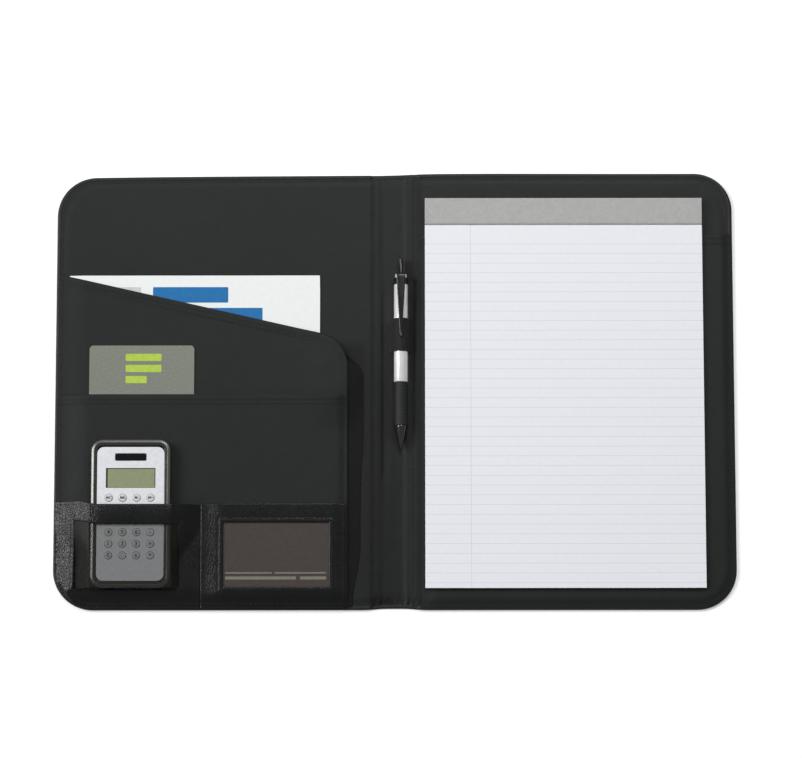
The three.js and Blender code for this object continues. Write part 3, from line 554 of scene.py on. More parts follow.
# The strip's dark colour is partly its own and partly painted shadow beside the pocket's raised edge.
STRIP_AND_SHADE = woven("thin black strip and shade", linear(19, 19, 19), pitch=0.35, depth=0.03, sheen=0.0, shine=0.12)
points = gusset_strip()
gusset = build("gusset_fold", points, grid_faces(points), STRIP_AND_SHADE, "pocket", wall=0.2)
fit(gusset, "front_cover", "document_gusset")

# ------------ Card pocket
# A second panel lies over the lower half of the first, with a straight hemmed top edge. It is sewn
# down on both sides and along the bottom.
CARD_LEFT, CARD_RIGHT, CARD_TOP = -254.2, -36.7, -3


def card_level(x, y):
    """Height of the panel: up from the bottom edge in 12 mm, the outer in 25 mm, the inner seam in 7 mm.
    The seam between the two frames draws it down by 1 mm."""
    sewn = rim_fall(x, y, 1.8, 2.1)
    wave = 0.1 * (ripple(x, y, 80, 21) - 1) + 0.04 * ripple(x, y, 22, 22)
    rise = smooth(sewn / 12) * (0.4 + 0.6 * smooth((CARD_RIGHT - x) / 7))
    seam = bell((x + 145.7) / 6) * smooth((-80 - y) / 14)
    return 4.15 + (2.15 + wave) * rise - seam * smooth(sewn / 12) + hem(CARD_TOP - y) + gusset_lift(x, y)


x = bunched(CARD_LEFT, 40, -CORNER_X, 60, CARD_RIGHT)
marks = [pocket_low(x, 1.8), CARD_TOP]
card_panel = panel("card_panel", x, marks, bunched(0, 90, 1), card_level, PANEL, "pocket")
fit(card_panel, "front_cover", "card_pocket")

# ------------ Calculator pocket
# A frame of thin glossy leathercloth with a window. It is sewn along the outer and bottom edges, and its
# top band is a strap that passes over the calculator. A smoked film closes the window.
FRAME_LEFT, FRAME_RIGHT, FRAME_LOW, FRAME_INSET, FRAME_WALL = -254.6, -145.8, -164.6, 1.4, 0.7
WINDOW_LEFT, WINDOW_RIGHT, WINDOW_LOW = -240, -161.5, -151
STRAP_TOP, STRAP_LOW = (-84.6, 2.4, 0.7), (-99.8, 1.4, 1.7)


def strap_edge(x, height, foot, sag):
    """An edge of the strap: foot lower to the right of its left foot, and sag more over the calculator."""
    return height - smooth((x + 238) / 16) * (foot + sag * smooth((-154 - x) / 14))


def toward_strap(y):
    """0 low in the window and 1 at the strap."""
    return smooth((y + 130) / 29)


def over_calculator(x, y):
    """0 beside the calculator and 1 over it. The slopes are straight. Their feet lie near the window's
    edges low down. Up at the strap each foot lies 15 mm further out."""
    up = toward_strap(y)
    left = (x + 239.8 + 14.8 * up) / (11.2 + 14.8 * up)
    right = (15.6 * up - 161.6 - x) / (5.3 + 15.6 * up)
    slope = np.clip(np.minimum(left, right), 0, 1)
    return 0.85 * slope + 0.15 * smooth(slope)


def edge_round(distance, drop=0.4, width=1.1):
    """How far a turned edge falls: a quarter round from nothing at the width to the drop at the edge."""
    t = np.clip(distance / width, 0, 1)
    return drop * (1 - np.sqrt(1 - (1 - t) ** 2))


def outside(x, y, left, right, low, high):
    """Distance out of a window, over the nearest of its four edges."""
    return np.maximum.reduce(np.broadcast_arrays(left - x, x - right, low - y, y - high))


def frame_level(x, y):
    """The frame climbs 4.5 mm from its outer edge to the window, 3.1 mm from the bottom edge and from
    the seam on its right, and climbs over the calculator as a strap."""
    sewn = rim_fall(x, y, FRAME_INSET)
    side = np.clip((x - FRAME_LEFT) / (WINDOW_LEFT - FRAME_LEFT), 0, 1)
    left = 4.7 + 4.5 * (0.8 * side + 0.2 * smooth(side)) * smooth(sewn / 3)
    flat = 7.8 - 3.1 * 0.45 * (1 - smooth((FRAME_RIGHT - x) / 14))
    bottom = 4.7 + (flat - 4.7) * smooth((y - FRAME_LOW) / 15)
    bottom = bottom + 1.4 * smooth((-x - 232) / 10) * smooth((y + 156) / 10)
    lie = np.minimum(left + 20 * smooth((x + 234) / 20), bottom)
    lie = lie + 0.1 * ripple(x, y, 45, 31) * smooth(sewn / 6)
    over = np.where(y > WINDOW_LOW + 0.1, over_calculator(x, y), 0)
    foot = np.where(x < -200, 9.2 - 4.5 * toward_strap(y), lie)
    arch = 1.1 * smooth((x + 230) / 11) * smooth((-163 - x) / 8) * toward_strap(y)
    strap = foot + (16.4 + arch + 0.4 * np.cos((y + 95) / 4.6) - foot) * over
    level = np.where(over > 0, np.maximum(lie, strap), lie)
    window = outside(x, y, WINDOW_LEFT, WINDOW_RIGHT, WINDOW_LOW, strap_edge(x, *STRAP_LOW))
    groove = 0.16 * bell((window - 2.6) / 0.5) * (1 - over)
    fall = edge_round(window) + edge_round(strap_edge(x, *STRAP_TOP) - y) + edge_round(FRAME_RIGHT - x, 0.3)
    return level - fall - groove


GLOSS = leathercloth(
    "glossy thin leathercloth", linear(15, 16, 16), roughness=0.29, grain=1.9, depth=0.1, shine=0.26,
    pressed=(-226, -206, 0.62),
)
x = bunched(FRAME_LEFT, 26, WINDOW_LEFT, 70, WINDOW_RIGHT, 26, FRAME_RIGHT)
corner_lift = 20 * np.clip((WINDOW_LEFT - x) / (WINDOW_LEFT - FRAME_LEFT), 0, 1) ** 2
marks = [pocket_low(x, FRAME_INSET), WINDOW_LOW + corner_lift]
marks += [strap_edge(x, *edge) for edge in (STRAP_LOW, STRAP_TOP)]
frame_panel = panel(
    "calculator_frame", x, marks, bunched(0, 24, 1, 24, 2, 22, 3), frame_level, GLOSS, "pocket_frame",
    wall=FRAME_WALL, hole=(WINDOW_LEFT, WINDOW_RIGHT),
)
fit(frame_panel, "front_cover", "calculator_pocket")


def film_level(x, y):
    """The film is sealed into the frame and stretched over the lower half of the calculator like a tent.
    At the strap's left foot it starts 3 mm lower."""
    along = smooth((y + 151.5) / 1.4)
    drop = 3.15 * toward_strap(y) * (x < -200)
    return 7.0 - drop + (9.05 + drop) * over_calculator(x, y) * along


def clear_film(name, colour, opacity, roughness):
    """A sheet with soft dents. Its own dark colour stops part of the light and the rest passes."""
    shares = {"Roughness": roughness, "Alpha": opacity, "Specular_IOR_Level": 0.15}
    return plain(name, colour, (400, 0.15), (40, 1, 0.05), **shares)


SMOKE = clear_film("smoked clear film", linear(40, 40, 35), opacity=0.29, roughness=0.35)
x = bunched(-241.3, 24, -228, 30, -168, 20, -160.2)
marks = [-152.2, -149.5, strap_edge(x, *STRAP_LOW) + 1.2]
rows = bunched(0, 14, 1, 20, 2)
film = panel("calculator_film", x, marks, rows, film_level, SMOKE, "window_film", wall=0.12)
fit(film, "front_cover")

# ------------ Badge pocket
# A second frame of the same leathercloth beside the first, with a clear film behind its window. A dark
# printed card is kept in it. The two frames meet in a sewn seam.
BADGE_LEFT, BADGE_RIGHT, BADGE_TOP = -145.5, -36.9, -86.1
BADGE_WINDOW = (-128.6, -49.2, -149, -100.6)


def badge_level(x, y):
    """The frame lies at 8.4 mm, falls to the sewn bottom edge and to both sides, and has a stitched
    border 3 mm wide round its window."""
    sewn = y - FRAME_LOW
    sides = (0.5 + 0.5 * smooth((BADGE_RIGHT - x) / 11)) * (0.46 + 0.54 * smooth((x - BADGE_LEFT) / 17))
    lie = 5.0 + 3.4 * smooth(sewn / 12.5) * sides
    window = outside(x, y, *BADGE_WINDOW)
    border = 0.12 * (1 - smooth((window - 3) / 0.6)) - 0.12 * bell((window - 3.6) / 0.6)
    ends = edge_round(BADGE_RIGHT - x) + edge_round(x - BADGE_LEFT, 0.3)
    fall = edge_round(window) + edge_round(BADGE_TOP - y) + ends
    return lie + border + 0.08 * ripple(x, y, 40, 33) * smooth(sewn / 6) - fall


x = bunched(BADGE_LEFT, 26, BADGE_WINDOW[0], 40, BADGE_WINDOW[1], 24, BADGE_RIGHT)
marks = [pocket_low(x, FRAME_INSET), *BADGE_WINDOW[2:], BADGE_TOP]
badge_frame = panel(
    "badge_frame", x, marks, bunched(0, 24, 1, 20, 2, 22, 3), badge_level, GLOSS, "pocket_frame",
    wall=FRAME_WALL, hole=BADGE_WINDOW[:2],
)
fit(badge_frame, "front_cover", "badge_pocket")
dress("badge_window", clear_film("clear film", linear(88, 84, 80), opacity=0.16, roughness=0.12))


def printed(name, colour, mottle=0.06, roughness=0.5, coat=0.0):
    """Card or paper: a faintly mottled colour over a fine grain."""
    gloss = {"Roughness": roughness, "Specular_IOR_Level": 0.35, "Coat_Weight": coat}
    return plain(name, colour, (350, mottle), (2500, 3, 0.02), **gloss)


def turns(count):
    """Angles at even steps round a circle."""
    return np.linspace(0, 2 * np.pi, count + 1)[:-1]


def printed_bars(name, bars, material, slot, level, depth=0.04, corner=0.8, sides=32):
    """Flat printed blocks (x0, x1, y0, y1) with corners rounded by quarter circles, as one thin layer."""
    circle = stacked(np.cos(turns(sides)), np.sin(turns(sides)))
    points, faces = [], []
    for k, (x0, x1, y0, y1) in enumerate(bars):
        middle, half = np.array([x0 + x1, y0 + y1]) / 2, np.array([x1 - x0, y1 - y0]) / 2
        outline = middle + np.sign(np.round(circle, 6)) * (half - corner) + circle * corner
        points.append(np.column_stack([outline, np.full(sides, level)]))
        faces.append(range(sides * k, sides * (k + 1)))
    return build(name, np.concatenate(points), faces, material, slot, wall=depth, flat_faces=True)


dress("badge_card", printed("dark brown card", linear(70, 61, 57), mottle=0.12, roughness=0.35, coat=0.3))
PALE_PRINT = printed("pale grey print", linear(150, 148, 134))
bars = [(-127, -74, -143.5, -141.2), (-71, -51.5, -143.5, -141.2)]
bars += [(-127, -92, -139, -138), (-90, -51.5, -139, -138)]
badge_print = printed_bars("badge_print", bars, PALE_PRINT, "badge_card", level=7.16, depth=0.05, corner=0.4)
fit(badge_print, "badge_card")

# ------------ Brochure and cards
# Printed matter in the pockets: a stapled leaflet of white glossy paper with plain blue blocks on its
# cover, and a silver plastic card with plain green bars.
LEAFLET = (-246.2, -56.4, -147.4, 88.6)


def leaves(name, box, low, high, material, slot, count, stray, seed, spots=120):
    """A stack of leaves in a box (x0, x1, y0, y1), from low to high. Each leaf is a slab whose outline,
    the box with its corners cut round, is drawn in by up to the stray and waves by a tenth of it."""
    rng = np.random.default_rng(seed)
    angles = turns(spots) + 0.001
    ring = stacked(np.cos(angles), np.sin(angles))
    lean = np.clip(ring / np.abs(ring).max(1, keepdims=True), -1, 1)
    half = np.array([box[1] - box[0], box[3] - box[2]]) / 2
    middle = np.array([box[0] + box[1], box[2] + box[3]]) / 2
    side = np.arange(spots)
    ahead = (side + 1) % spots
    points, faces = [], []
    for k in range(count):
        inward = rng.uniform(0, stray, 4)
        outline = middle + lean * (half - 0.05) - np.where(lean > 0.99, inward[::2], 0)
        outline = outline + np.where(lean < -0.99, inward[1::2], 0)
        outline = outline - ring * 0.1 * stray * (1 + np.sin(angles * 7 + k))[:, None]
        levels = low + (high - low) / count * (k + np.array([0.04, 0.96]))
        points += [np.column_stack([outline, np.full(spots, z)]) for z in levels]
        first = 2 * spots * k
        faces += (np.stack([side, ahead, ahead + spots, side + spots], -1) + first).tolist()
        faces += [range(first + spots - 1, first - 1, -1), range(first + spots, first + 2 * spots)]
    return build(name, np.concatenate(points), faces, material, slot, flat_faces=True)


glossy = {"roughness": 0.3, "coat": 0.2}
GLOSSY_PAPER = printed("glossy white paper", linear(231, 234, 233), mottle=0.02, **glossy)
BLUE_PRINT = printed("blue print", linear(28, 108, 168), mottle=0.05, **glossy)
leaflet = leaves(
    "brochure_leaves", LEAFLET, 3.05, 3.95, GLOSSY_PAPER, "brochure_card", count=6, stray=0.35, seed=2
)
fit(leaflet, "brochure", "brochure")
blocks = [(-183, -126, 67.5, 79.5), (-183, -100, 52.5, 63.5), (-222, -192, 62, 79.5)]
fit(printed_bars("brochure_print", blocks[:2], BLUE_PRINT, "brochure_card", level=3.99), "brochure")
SHADE_PRINT = printed("pale grey block", linear(196, 198, 198))
fit(printed_bars("brochure_picture", blocks[2:], SHADE_PRINT, "brochure_card", level=3.99), "brochure")

SILVER = plain(
    "brushed silver plastic", linear(128, 131, 121), (700, 0.12), (1.0, 3, 0.015, (60, 2600, 1)),
    Metallic=0.55, Roughness=0.42, Coat_Weight=0.2,
)
dress("business_card", SILVER)
GREEN_PRINT = printed("green print", linear(168, 196, 70), mottle=0.08)
green = [(-203, -176, 22.5, 28), (-203, -176, 14, 19.5), (-203, -187, 5.5, 11)]
fit(printed_bars("card_print", green, GREEN_PRINT, "silver_card", level=5.74), "business_card")

# ------------ Pad pocket
# The right cover carries one panel from edge to edge. The pad's stiff back is pushed in at its top edge,
# and the sheets stay outside.
PAD_LEFT, PAD_TOP = 19.6, 120


def pad_panel_level(x, y):
    """The panel climbs from its sewn edges to lie on the pad's back, with soft waves in the margins. It
    is still low at the left seam and climbs on under the pad."""
    sewn, inward = smooth(rim_fall(x, y, 2.2) / 7), x - PAD_LEFT
    wave = 0.08 * ripple(x, y, 70, 41) * smooth(inward / 12)
    seam = 0.75 * (1 - smooth((inward - 2.4) / 10)) + 0.15 * bell((inward - 1.1) / 0.4)
    return 3.65 + (1.05 + wave) * sewn - seam * sewn + hem(PAD_TOP - y)


x = bunched(PAD_LEFT, 30, 60, 50, CORNER_X, 30, 253.8)
marks = [bottom_edge(x, 2.2), PAD_TOP]
pad_panel = panel("pad_panel", x, marks, bunched(0, 110, 1), pad_panel_level, PANEL, "pocket")
fit(pad_panel, "back_cover", "pad_pocket")

# ------------ Writing pad
# Ruled sheets on a grey board, glued along the top edge and bound there with an embossed grey tape.
PAD = (22.8, 232.8, -150, 147)
RULE_FIRST, RULE_STEP, RULE_COUNT, MARGIN_X = 111.8, 7.37, 36, 57.3
RULE_HALF, MARGIN_HALF = 0.19, 0.3

dress("pad_backing", printed("grey pad board", linear(150, 148, 142), mottle=0.15, roughness=0.85))
PAPER = printed("white writing paper", linear(226, 228, 233), mottle=0.015, roughness=0.8)
neck = (22.9, 232.7, 121, 146.8)
pad_leaves = leaves("pad_leaves", PAD, 5.12, 7.46, PAPER, "paper", count=14, stray=0.45, seed=4)
pad_neck = leaves("pad_neck", neck, 3.95, 5.1, PAPER, "paper", count=7, stray=0.25, seed=5)
fit(pad_leaves, "pad", "pad_sheets")
fit(pad_neck, "pad")


def ruled_paper():
    """Writing paper with pale blue lines at even steps down the page and one margin line: a line shows
    where the distance to the nearest step is under half its width."""
    paint = Paint("ruled writing paper", Roughness=0.8, Specular_IOR_Level=0.3)
    down = paint.axis("Y")
    last = RULE_FIRST - RULE_STEP * (RULE_COUNT - 1)
    shifted = paint.maths("ADD", down, (RULE_STEP / 2 - RULE_FIRST) / 1000)
    within = paint.maths("FLOORED_MODULO", shifted, RULE_STEP / 1000)
    away = paint.maths("ABSOLUTE", paint.maths("SUBTRACT", within, RULE_STEP / 2000))
    line = paint.maths("LESS_THAN", away, RULE_HALF / 1000)
    below = paint.maths("LESS_THAN", down, (RULE_FIRST + 1) / 1000)
    above = paint.maths("GREATER_THAN", down, (last - 1) / 1000)
    rules = paint.maths("MULTIPLY", line, paint.maths("MULTIPLY", below, above))
    aside = paint.maths("ABSOLUTE", paint.maths("SUBTRACT", paint.axis("X"), MARGIN_X / 1000))
    margin = paint.maths("LESS_THAN", aside, MARGIN_HALF / 1000)
    ruled = paint.mixed(paint.speckled(linear(227, 229, 234), 300, 0.012), linear(204, 209, 220), rules)
    paint.feed("Base Color", paint.mixed(ruled, linear(212, 213, 220), margin))
    paint.raised(paint.noise(2500, 3), 0.015)
    return paint.material


def top_sheet_level(x, y):
    """The first sheet lies almost flat and lifts a little at its two free corners."""
    right = 0.5 * smooth((x - 195) / 38) * smooth((-118 - y) / 32)
    left = 0.25 * smooth((58 - x) / 36) * smooth((-125 - y) / 25)
    return 7.62 + right + left + 0.04 * ripple(x, y, 120, 44)


x, marks, rows = bunched(PAD[0], 60, PAD[1]), [PAD[2], 126.3], bunched(0, 70, 1)
top_sheet = panel("top_sheet", x, marks, rows, top_sheet_level, ruled_paper(), "paper", wall=0.1)
fit(top_sheet, "top_sheet", "pad_top_sheet")


def embossed_tape():
    """Grey paper tape with pressed pits like rough leather's, a few tenths of a millimetre across."""
    paint = Paint("embossed grey tape", Roughness=0.7, Specular_IOR_Level=0.35)
    paint.tint(linear(167, 167, 165), 300, 0.045, 4)
    pits = paint.node("TexVoronoi", {"Vector": paint.place, "Scale": 900}, feature="SMOOTH_F1")["Distance"]
    under = paint.raised(paint.noise(180, 5), 0.35)
    paint.raised(pits, 0.2, under)
    return paint.material


def arc(x, z, radius, start, stop, count):
    """Places on a circle round (x, z), from one angle to another."""
    angle = np.linspace(start, stop, count)
    return stacked(x + radius * np.cos(angle), z + radius * np.sin(angle))


def tape_profile():
    """Across the page the tape lies on the sheets, turns over their top edges in a quarter round and
    runs down the end of the pad."""
    flat, down = stacked(np.linspace(126.6, 146.6, 12), 7.98), stacked(147.45, np.linspace(6.5, 3.3, 6))
    flat[0, 1] = 7.72
    return np.concatenate([flat, arc(146.6, 7.13, 0.85, np.pi / 2, 0, 9)[1:], down])


profile = tape_profile()
points = stacked(bunched(PAD[0], 50, PAD[1]), profile[:, :1], profile[:, 1:])
tape = build("pad_tape", points, grid_faces(points), embossed_tape(), "pad_tape", wall=0.3)
fit(tape, "pad", "pad_binding")

# ------------ Pen loop
# A black ribbed elastic band stands in an arch over the pen. Its two feet are sewn to the spine.
PEN_X, PEN_Z = 4.65, 7.2
LOOP_LOW, LOOP_HIGH, LOOP_RADIUS = 29.0, 54.2, 5.9


def unit(directions):
    """Directions brought to length 1."""
    return directions / np.hypot(*directions.T)[:, None]


def loop_band():
    """Along the band: a foot, a turn up, a leg, half a circle round the pen, and the same down again.
    Across it the band is ribbed: the radius changes as a cosine of the place along the pen."""
    foot = stacked(np.linspace(-8.6, -6.9, 5), 2.1)
    turn_up = arc(-6.9, 3.1, 1.0, -np.pi / 2, 0, 6)[1:]
    leg = stacked(-LOOP_RADIUS, np.linspace(3.8, 6.8, 4))
    arch = arc(0, PEN_Z, LOOP_RADIUS, np.pi, np.pi / 2, 16)
    half = np.concatenate([foot, turn_up, leg, arch])
    line = np.concatenate([half, (half * [-1, 1])[-2::-1]])
    along = np.linspace(LOOP_LOW, LOOP_HIGH, 127)[:, None]
    ahead = unit(np.gradient(line, axis=0))
    away = stacked(-ahead[:, 1], ahead[:, 0])
    border = np.minimum(along - LOOP_LOW, LOOP_HIGH - along) < 0.5
    rib = (0.09 * np.cos(2 * np.pi * along / 1.6) - 0.12 * border) * smooth((line[:, 1] - 2.2) / 1.5 + 0.2)
    return stacked(PEN_X + line[:, 0] + rib * away[:, 0], along, line[:, 1] + rib * away[:, 1])


ELASTIC = woven("black ribbed elastic", linear(28, 28, 28), pitch=0.5, depth=0.1, sheen=0.1)
points = loop_band()
loop = fit(build("loop_band", points, grid_faces(points), ELASTIC, "elastic", wall=0.4), "spine", "pen_loop")


# ------------ Pen
# A push-button ballpoint. Its bright metal barrel ends in a crown with a thin button, a tapered clip
# springs from the crown, and the lower end has a dark rubber grip and a dark metal cone.
def turned(name, profile, material, slot, sides=72):
    """A profile of (radius, place along the pen) is turned round the pen's axis."""
    radius, place = np.array(profile, float).T
    angle = turns(sides)[:, None]
    points = stacked(PEN_X + radius * np.sin(angle), place, PEN_Z + radius * np.cos(angle))
    return build(name, points, grid_faces(points, ring=0, flip=True), material, slot)


def metal(name, colour, roughness, metallic=1.0):
    """Plated metal with faint turning marks along the pen and a few dull patches."""
    paint = Paint(name, Metallic=metallic, Roughness=roughness)
    paint.raised(paint.noise(1.0, 2, (20, 1500, 20)), 0.004)
    paint.feed("Roughness", paint.ranged(paint.noise(120, 4), 0.0, 1.0, roughness * 0.7, roughness * 1.5))
    paint.tint(colour, 200, 0.05)
    return paint.material


def sharp_profile(points, soften=0.12):
    """The corners of a profile are doubled a little before and after, so that each keeps a small round."""
    marks = np.array(points, float)
    made = [marks[0]]
    for before, here, after in zip(marks[:-2], marks[1:-1], marks[2:]):
        for other in (before, after):
            made.append(here + (other - here) * min(0.3, soften / max(1e-6, np.hypot(*(other - here)))))
    return np.array([*made, marks[-1]])


CHROME = metal("bright plated metal", linear(236, 236, 234), roughness=0.16, metallic=0.36)
TIP_CHROME = metal("grey plated metal", linear(88, 88, 86), roughness=0.13)
DARK_CHROME = metal("dark plated metal", linear(62, 62, 60), roughness=0.22)
RUBBER = plain(
    "dark rubber", linear(29, 31, 31), (600, 0.12), (2200, 2, 0.05), Roughness=0.62, Specular_IOR_Level=0.3
)

barrel = sharp_profile([
    (3.45, 5.8), (5.05, 5.8), (5.3, 6.1), (5.3, 80.3), (4.8, 80.5), (4.8, 85.6), (4.55, 85.8), (4.55, 88.1),
    (4.2, 88.5), (1.75, 88.5), (1.75, 87.2), (3.45, 86.2), (3.45, 5.8),
])
collar = sharp_profile([
    (4.7, 80.4), (5.15, 80.5), (5.25, 80.8), (5.25, 84.9), (5.05, 85.5), (4.4, 85.7), (4.4, 80.6),
    (4.7, 80.4),
])
place = np.linspace(-27, 5.2, 97)
ribs = 0.06 * np.cos(2 * np.pi * place / 2.6) * smooth((place + 26) / 3) * smooth((4 - place) / 3)
grip = [(4.1, -27.4), (4.8, -27.4), *zip(5.02 + ribs, place), (4.9, 5.6), (4.1, 5.6), (4.1, -27.4)]
cone = sharp_profile([
    (0.72, -44), (1.0, -44), (1.1, -43.7), (1.75, -41), (2.9, -36.6), (3.9, -32), (4.45, -29), (4.6, -28.2),
    (4.6, -27.5), (3.2, -27.5), (3.2, -22.5), (2.75, -22.5), (2.75, -30), (1.7, -31), (1.65, -39.6),
    (0.75, -41.2), (0.72, -44),
], soften=0.08)
button = sharp_profile([
    (0.001, 78.2), (2.4, 78.2), (2.4, 82), (1.55, 82), (1.55, 100), (1.35, 100.7), (0.9, 101.1),
    (0.001, 101.2),
], soften=0.08)
for name, profile, material, slot, body, nodes in (
    ("pen_barrel_shell", barrel, CHROME, "pen_metal", "pen", ["pen_barrel"]),
    ("pen_grip_sleeve", grip, RUBBER, "pen_rubber", "pen", ["pen_grip"]),
    ("pen_cone", cone, TIP_CHROME, "pen_metal", "pen", ["pen_tip"]),
    ("pen_collar", collar, DARK_CHROME, "pen_metal", "pen", []),
    ("pen_push_button", button, DARK_CHROME, "pen_metal", "pen_click", ["pen_button"]),
):
    fit(turned(name, profile, material, slot), body, *nodes)


def travelled(line):
    """The length of a line up to each of its points."""
    return np.concatenate([[0], np.cumsum(np.hypot(*np.diff(line, axis=0).T))])


def clip_arm():
    """A rounded strip carried along a line that rises from the crown, bends over and runs down above the
    barrel. Its width narrows from 6.6 to 1.6 mm, and its section is a flat ellipse with full corners."""
    run = np.linspace(86, 40.2, 40)
    rise = stacked(88.2, np.linspace(10.2, 12.6, 4))
    top = arc(86.6, 12.7, 1.6, 0, np.pi / 2, 9)
    down = stacked(run, 14.3 - 0.12 * smooth((60 - run) / 20) + 0.25 * smooth((43 - run) / 2.5))
    line = np.concatenate([rise, top, down[1:]])
    length = travelled(line)
    width = np.interp(line[:, 0], [40.2, 54.5, 80.5, 88.2], [0.8, 1.6, 3.1, 3.3])
    width *= np.sqrt(np.clip((length[-1] - length) / 0.9, 0.02, 1))
    ahead, angle = unit(np.gradient(line, axis=0)), turns(24)[:, None]
    side = np.sign(np.cos(angle)) * np.abs(np.cos(angle)) ** 0.6
    out = 0.42 * np.sign(np.sin(angle)) * np.abs(np.sin(angle)) ** 0.8
    points = stacked(PEN_X + width * side, line[:, 0] + out * ahead[:, 1], line[:, 1] - out * ahead[:, 0])
    first = np.arange(len(angle)) * len(line)
    faces = [*grid_faces(points, ring=0).tolist(), first.tolist(), (first + len(line) - 1)[::-1].tolist()]
    return points, faces


def ball(middle, radius, rings=12, sides=24):
    """A small ball at a point, as a grid of longitude by latitude."""
    longitude, latitude = turns(sides)[:, None], np.linspace(0, np.pi, rings)
    out, up = np.sin(latitude), -np.cos(latitude)
    around = stacked(out * np.cos(longitude), out * np.sin(longitude), up)
    return np.array(middle) + radius * around, grid_faces(around, ring=0)


fit(build("pen_clip_arm", *clip_arm(), DARK_CHROME, "pen_metal"), "pen", "pen_clip")
fit(build("pen_clip_ball", *ball((PEN_X + 0.3, 40.6, 14.75), radius=1.0), TIP_CHROME, "pen_metal"), "pen")
dress("pen_spring", metal("spring wire", linear(190, 190, 188), roughness=0.3))
dress("pen_refill", plain("clear ink tube", linear(26, 40, 96), (400, 0.15), Roughness=0.3, Coat_Weight=0.3))

# ------------ Calculator
# A slim pocket calculator. A dark glossy body with a thin bright line round it holds a pale painted
# plate, and the plate holds a solar cell, a display and round keys.
BODY_MIDDLE, BODY_HALF, BODY_CORNER = np.array([-197.7, -94.5]), np.array([30.0, 56.0]), 9.0


def carried(name, profile, material, closed=False):
    """A profile of (inset, height) is carried round a rectangle with round corners. The inset moves each
    corner's circle point inwards along its own radius. A closed form gets its two end faces."""
    angle = np.concatenate([np.linspace(q, q + np.pi / 2, 15) for q in np.arange(4) * np.pi / 2])
    outward = stacked(np.cos(angle), np.sin(angle))
    quarter = np.repeat([[1, 1], [-1, 1], [-1, -1], [1, -1]], 15, axis=0)
    inset, level = np.array(profile, float).T
    flat = (BODY_MIDDLE + quarter * (BODY_HALF - BODY_CORNER) + outward * BODY_CORNER)[:, None]
    flat = flat - outward[:, None] * inset[:, None]
    points = stacked(flat[..., 0], flat[..., 1], level)
    faces = grid_faces(points, ring=0).tolist()
    if closed:
        rows = np.arange(len(angle)) * len(level)
        faces += [rows[::-1].tolist(), (rows + len(level) - 1).tolist()]
    return build(name, points, faces, material, "calculator_body")


def moulded(name, colour, roughness, coat=0.3, shine=0.5):
    """Moulded plastic: a fine even grain, softly uneven gloss and a thin clear skin."""
    gloss = {"Roughness": roughness, "Coat_Weight": coat, "Coat_Roughness": 0.15, "Specular_IOR_Level": shine}
    return plain(name, colour, (500, 0.06), (1800, 2, 0.02), **gloss)


BODY = moulded("dark glossy plastic", linear(34, 35, 34), roughness=0.3)
TRIM = plain("silver trim", linear(104, 104, 101), (300, 0.04), Metallic=0.85, Roughness=0.36)
shell_profile = [
    (2.6, 6.62), (1.2, 6.75), (0.45, 7.2), (0.1, 8.1), (0, 9.4), (0, 12.2), (0.12, 12.55), (0.3, 12.72),
    (5, 12.74), (5, 12.3),
]
rim_profile = [
    (5, 12.78), (0.35, 12.8), (0.08, 13), (0, 13.4), (0.12, 14.1), (0.5, 14.6), (1.1, 14.9), (1.9, 15.1),
    (2.7, 15.15), (3.5, 15.1), (4.3, 15.08), (4.8, 15.0), (4.82, 13.9), (4.9, 13.4), (5, 12.78),
]
trim_profile = [
    (0.35, 14.3), (0.4, 14.85), (0.7, 15.06), (1.2, 15.27), (1.7, 15.46), (2.2, 15.62), (2.55, 15.68),
    (2.85, 15.6), (2.95, 15.3), (1.6, 14.9), (0.35, 14.3),
]
fit(carried("calculator_shell", shell_profile, BODY, closed=True), "calculator", "calculator_case")
fit(carried("calculator_rim", rim_profile, BODY), "calculator", "calculator_bezel")
fit(carried("calculator_trim", trim_profile, TRIM), "calculator")
dress("calculator_faceplate", moulded("pale painted metal", linear(215, 217, 220), roughness=0.4, coat=0.2))
dress("calculator_display", moulded("grey green display", linear(136, 143, 110), roughness=0.25))
dress("calculator_board", moulded("green circuit board", linear(30, 84, 52), roughness=0.5, coat=0.1))

# The solar cell is a dark block with round corners. The display is blank. Thin dark bars round it,
# widest at its left end, are painted shade inside its recess.
SOLAR = moulded("dark solar cell", linear(17, 18, 22), roughness=0.35, coat=0.0, shine=0.1)
low, high = (1000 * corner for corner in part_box("calculator_solar_cell"))
cell = printed_bars(
    "solar_cell", [(low.x, high.x, low.y, high.y)], SOLAR, "display", level=high.z, depth=0.4, corner=1.2
)
fit(cell, "calculator", "calculator_solar_cell")
# Painted shade: dark bars along the display's left, top and right edges.
DISPLAY_PAINTED_SHADE = printed("painted display shade", linear(52, 54, 46))
low, high = (1000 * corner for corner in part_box("calculator_display"))
edges = [
    (low.x, low.x + 1.1, low.y, high.y), (low.x, high.x, high.y - 0.35, high.y),
    (high.x - 0.35, high.x, low.y, high.y),
]
recess_shade_bars = printed_bars("display_shade_bars", edges, DISPLAY_PAINTED_SHADE, "display", level=high.z + 0.03, depth=0.03, corner=0.1)
fit(recess_shade_bars, "calculator")

# ------------ Keys
# Round grey plastic keys with a shallow dish on top and a printed sign, in six rows of four.
KEY_CAP = moulded("grey key plastic", linear(202, 203, 203), roughness=0.4)
KEY_SIGN = printed("dark key print", linear(88, 88, 88))
SIGNS = "MC MR M- M+ C √ % ÷ 7 8 9 × 4 5 6 - 1 2 3 + 0 . ± =".split()
KEY_X, KEY_Y, KEY_STEP, SIGN_LEVEL = (-213.9, -203.5, -193.1, -182.7), -82.9, 8.66, 15.77
KEY_PROFILE = [
    (0.001, 13.9), (2.6, 13.9), (2.75, 14.1), (2.8, 15.2), (2.7, 15.55), (2.45, 15.74), (2.1, 15.76),
    (1.2, 15.68), (0.001, 15.66),
]


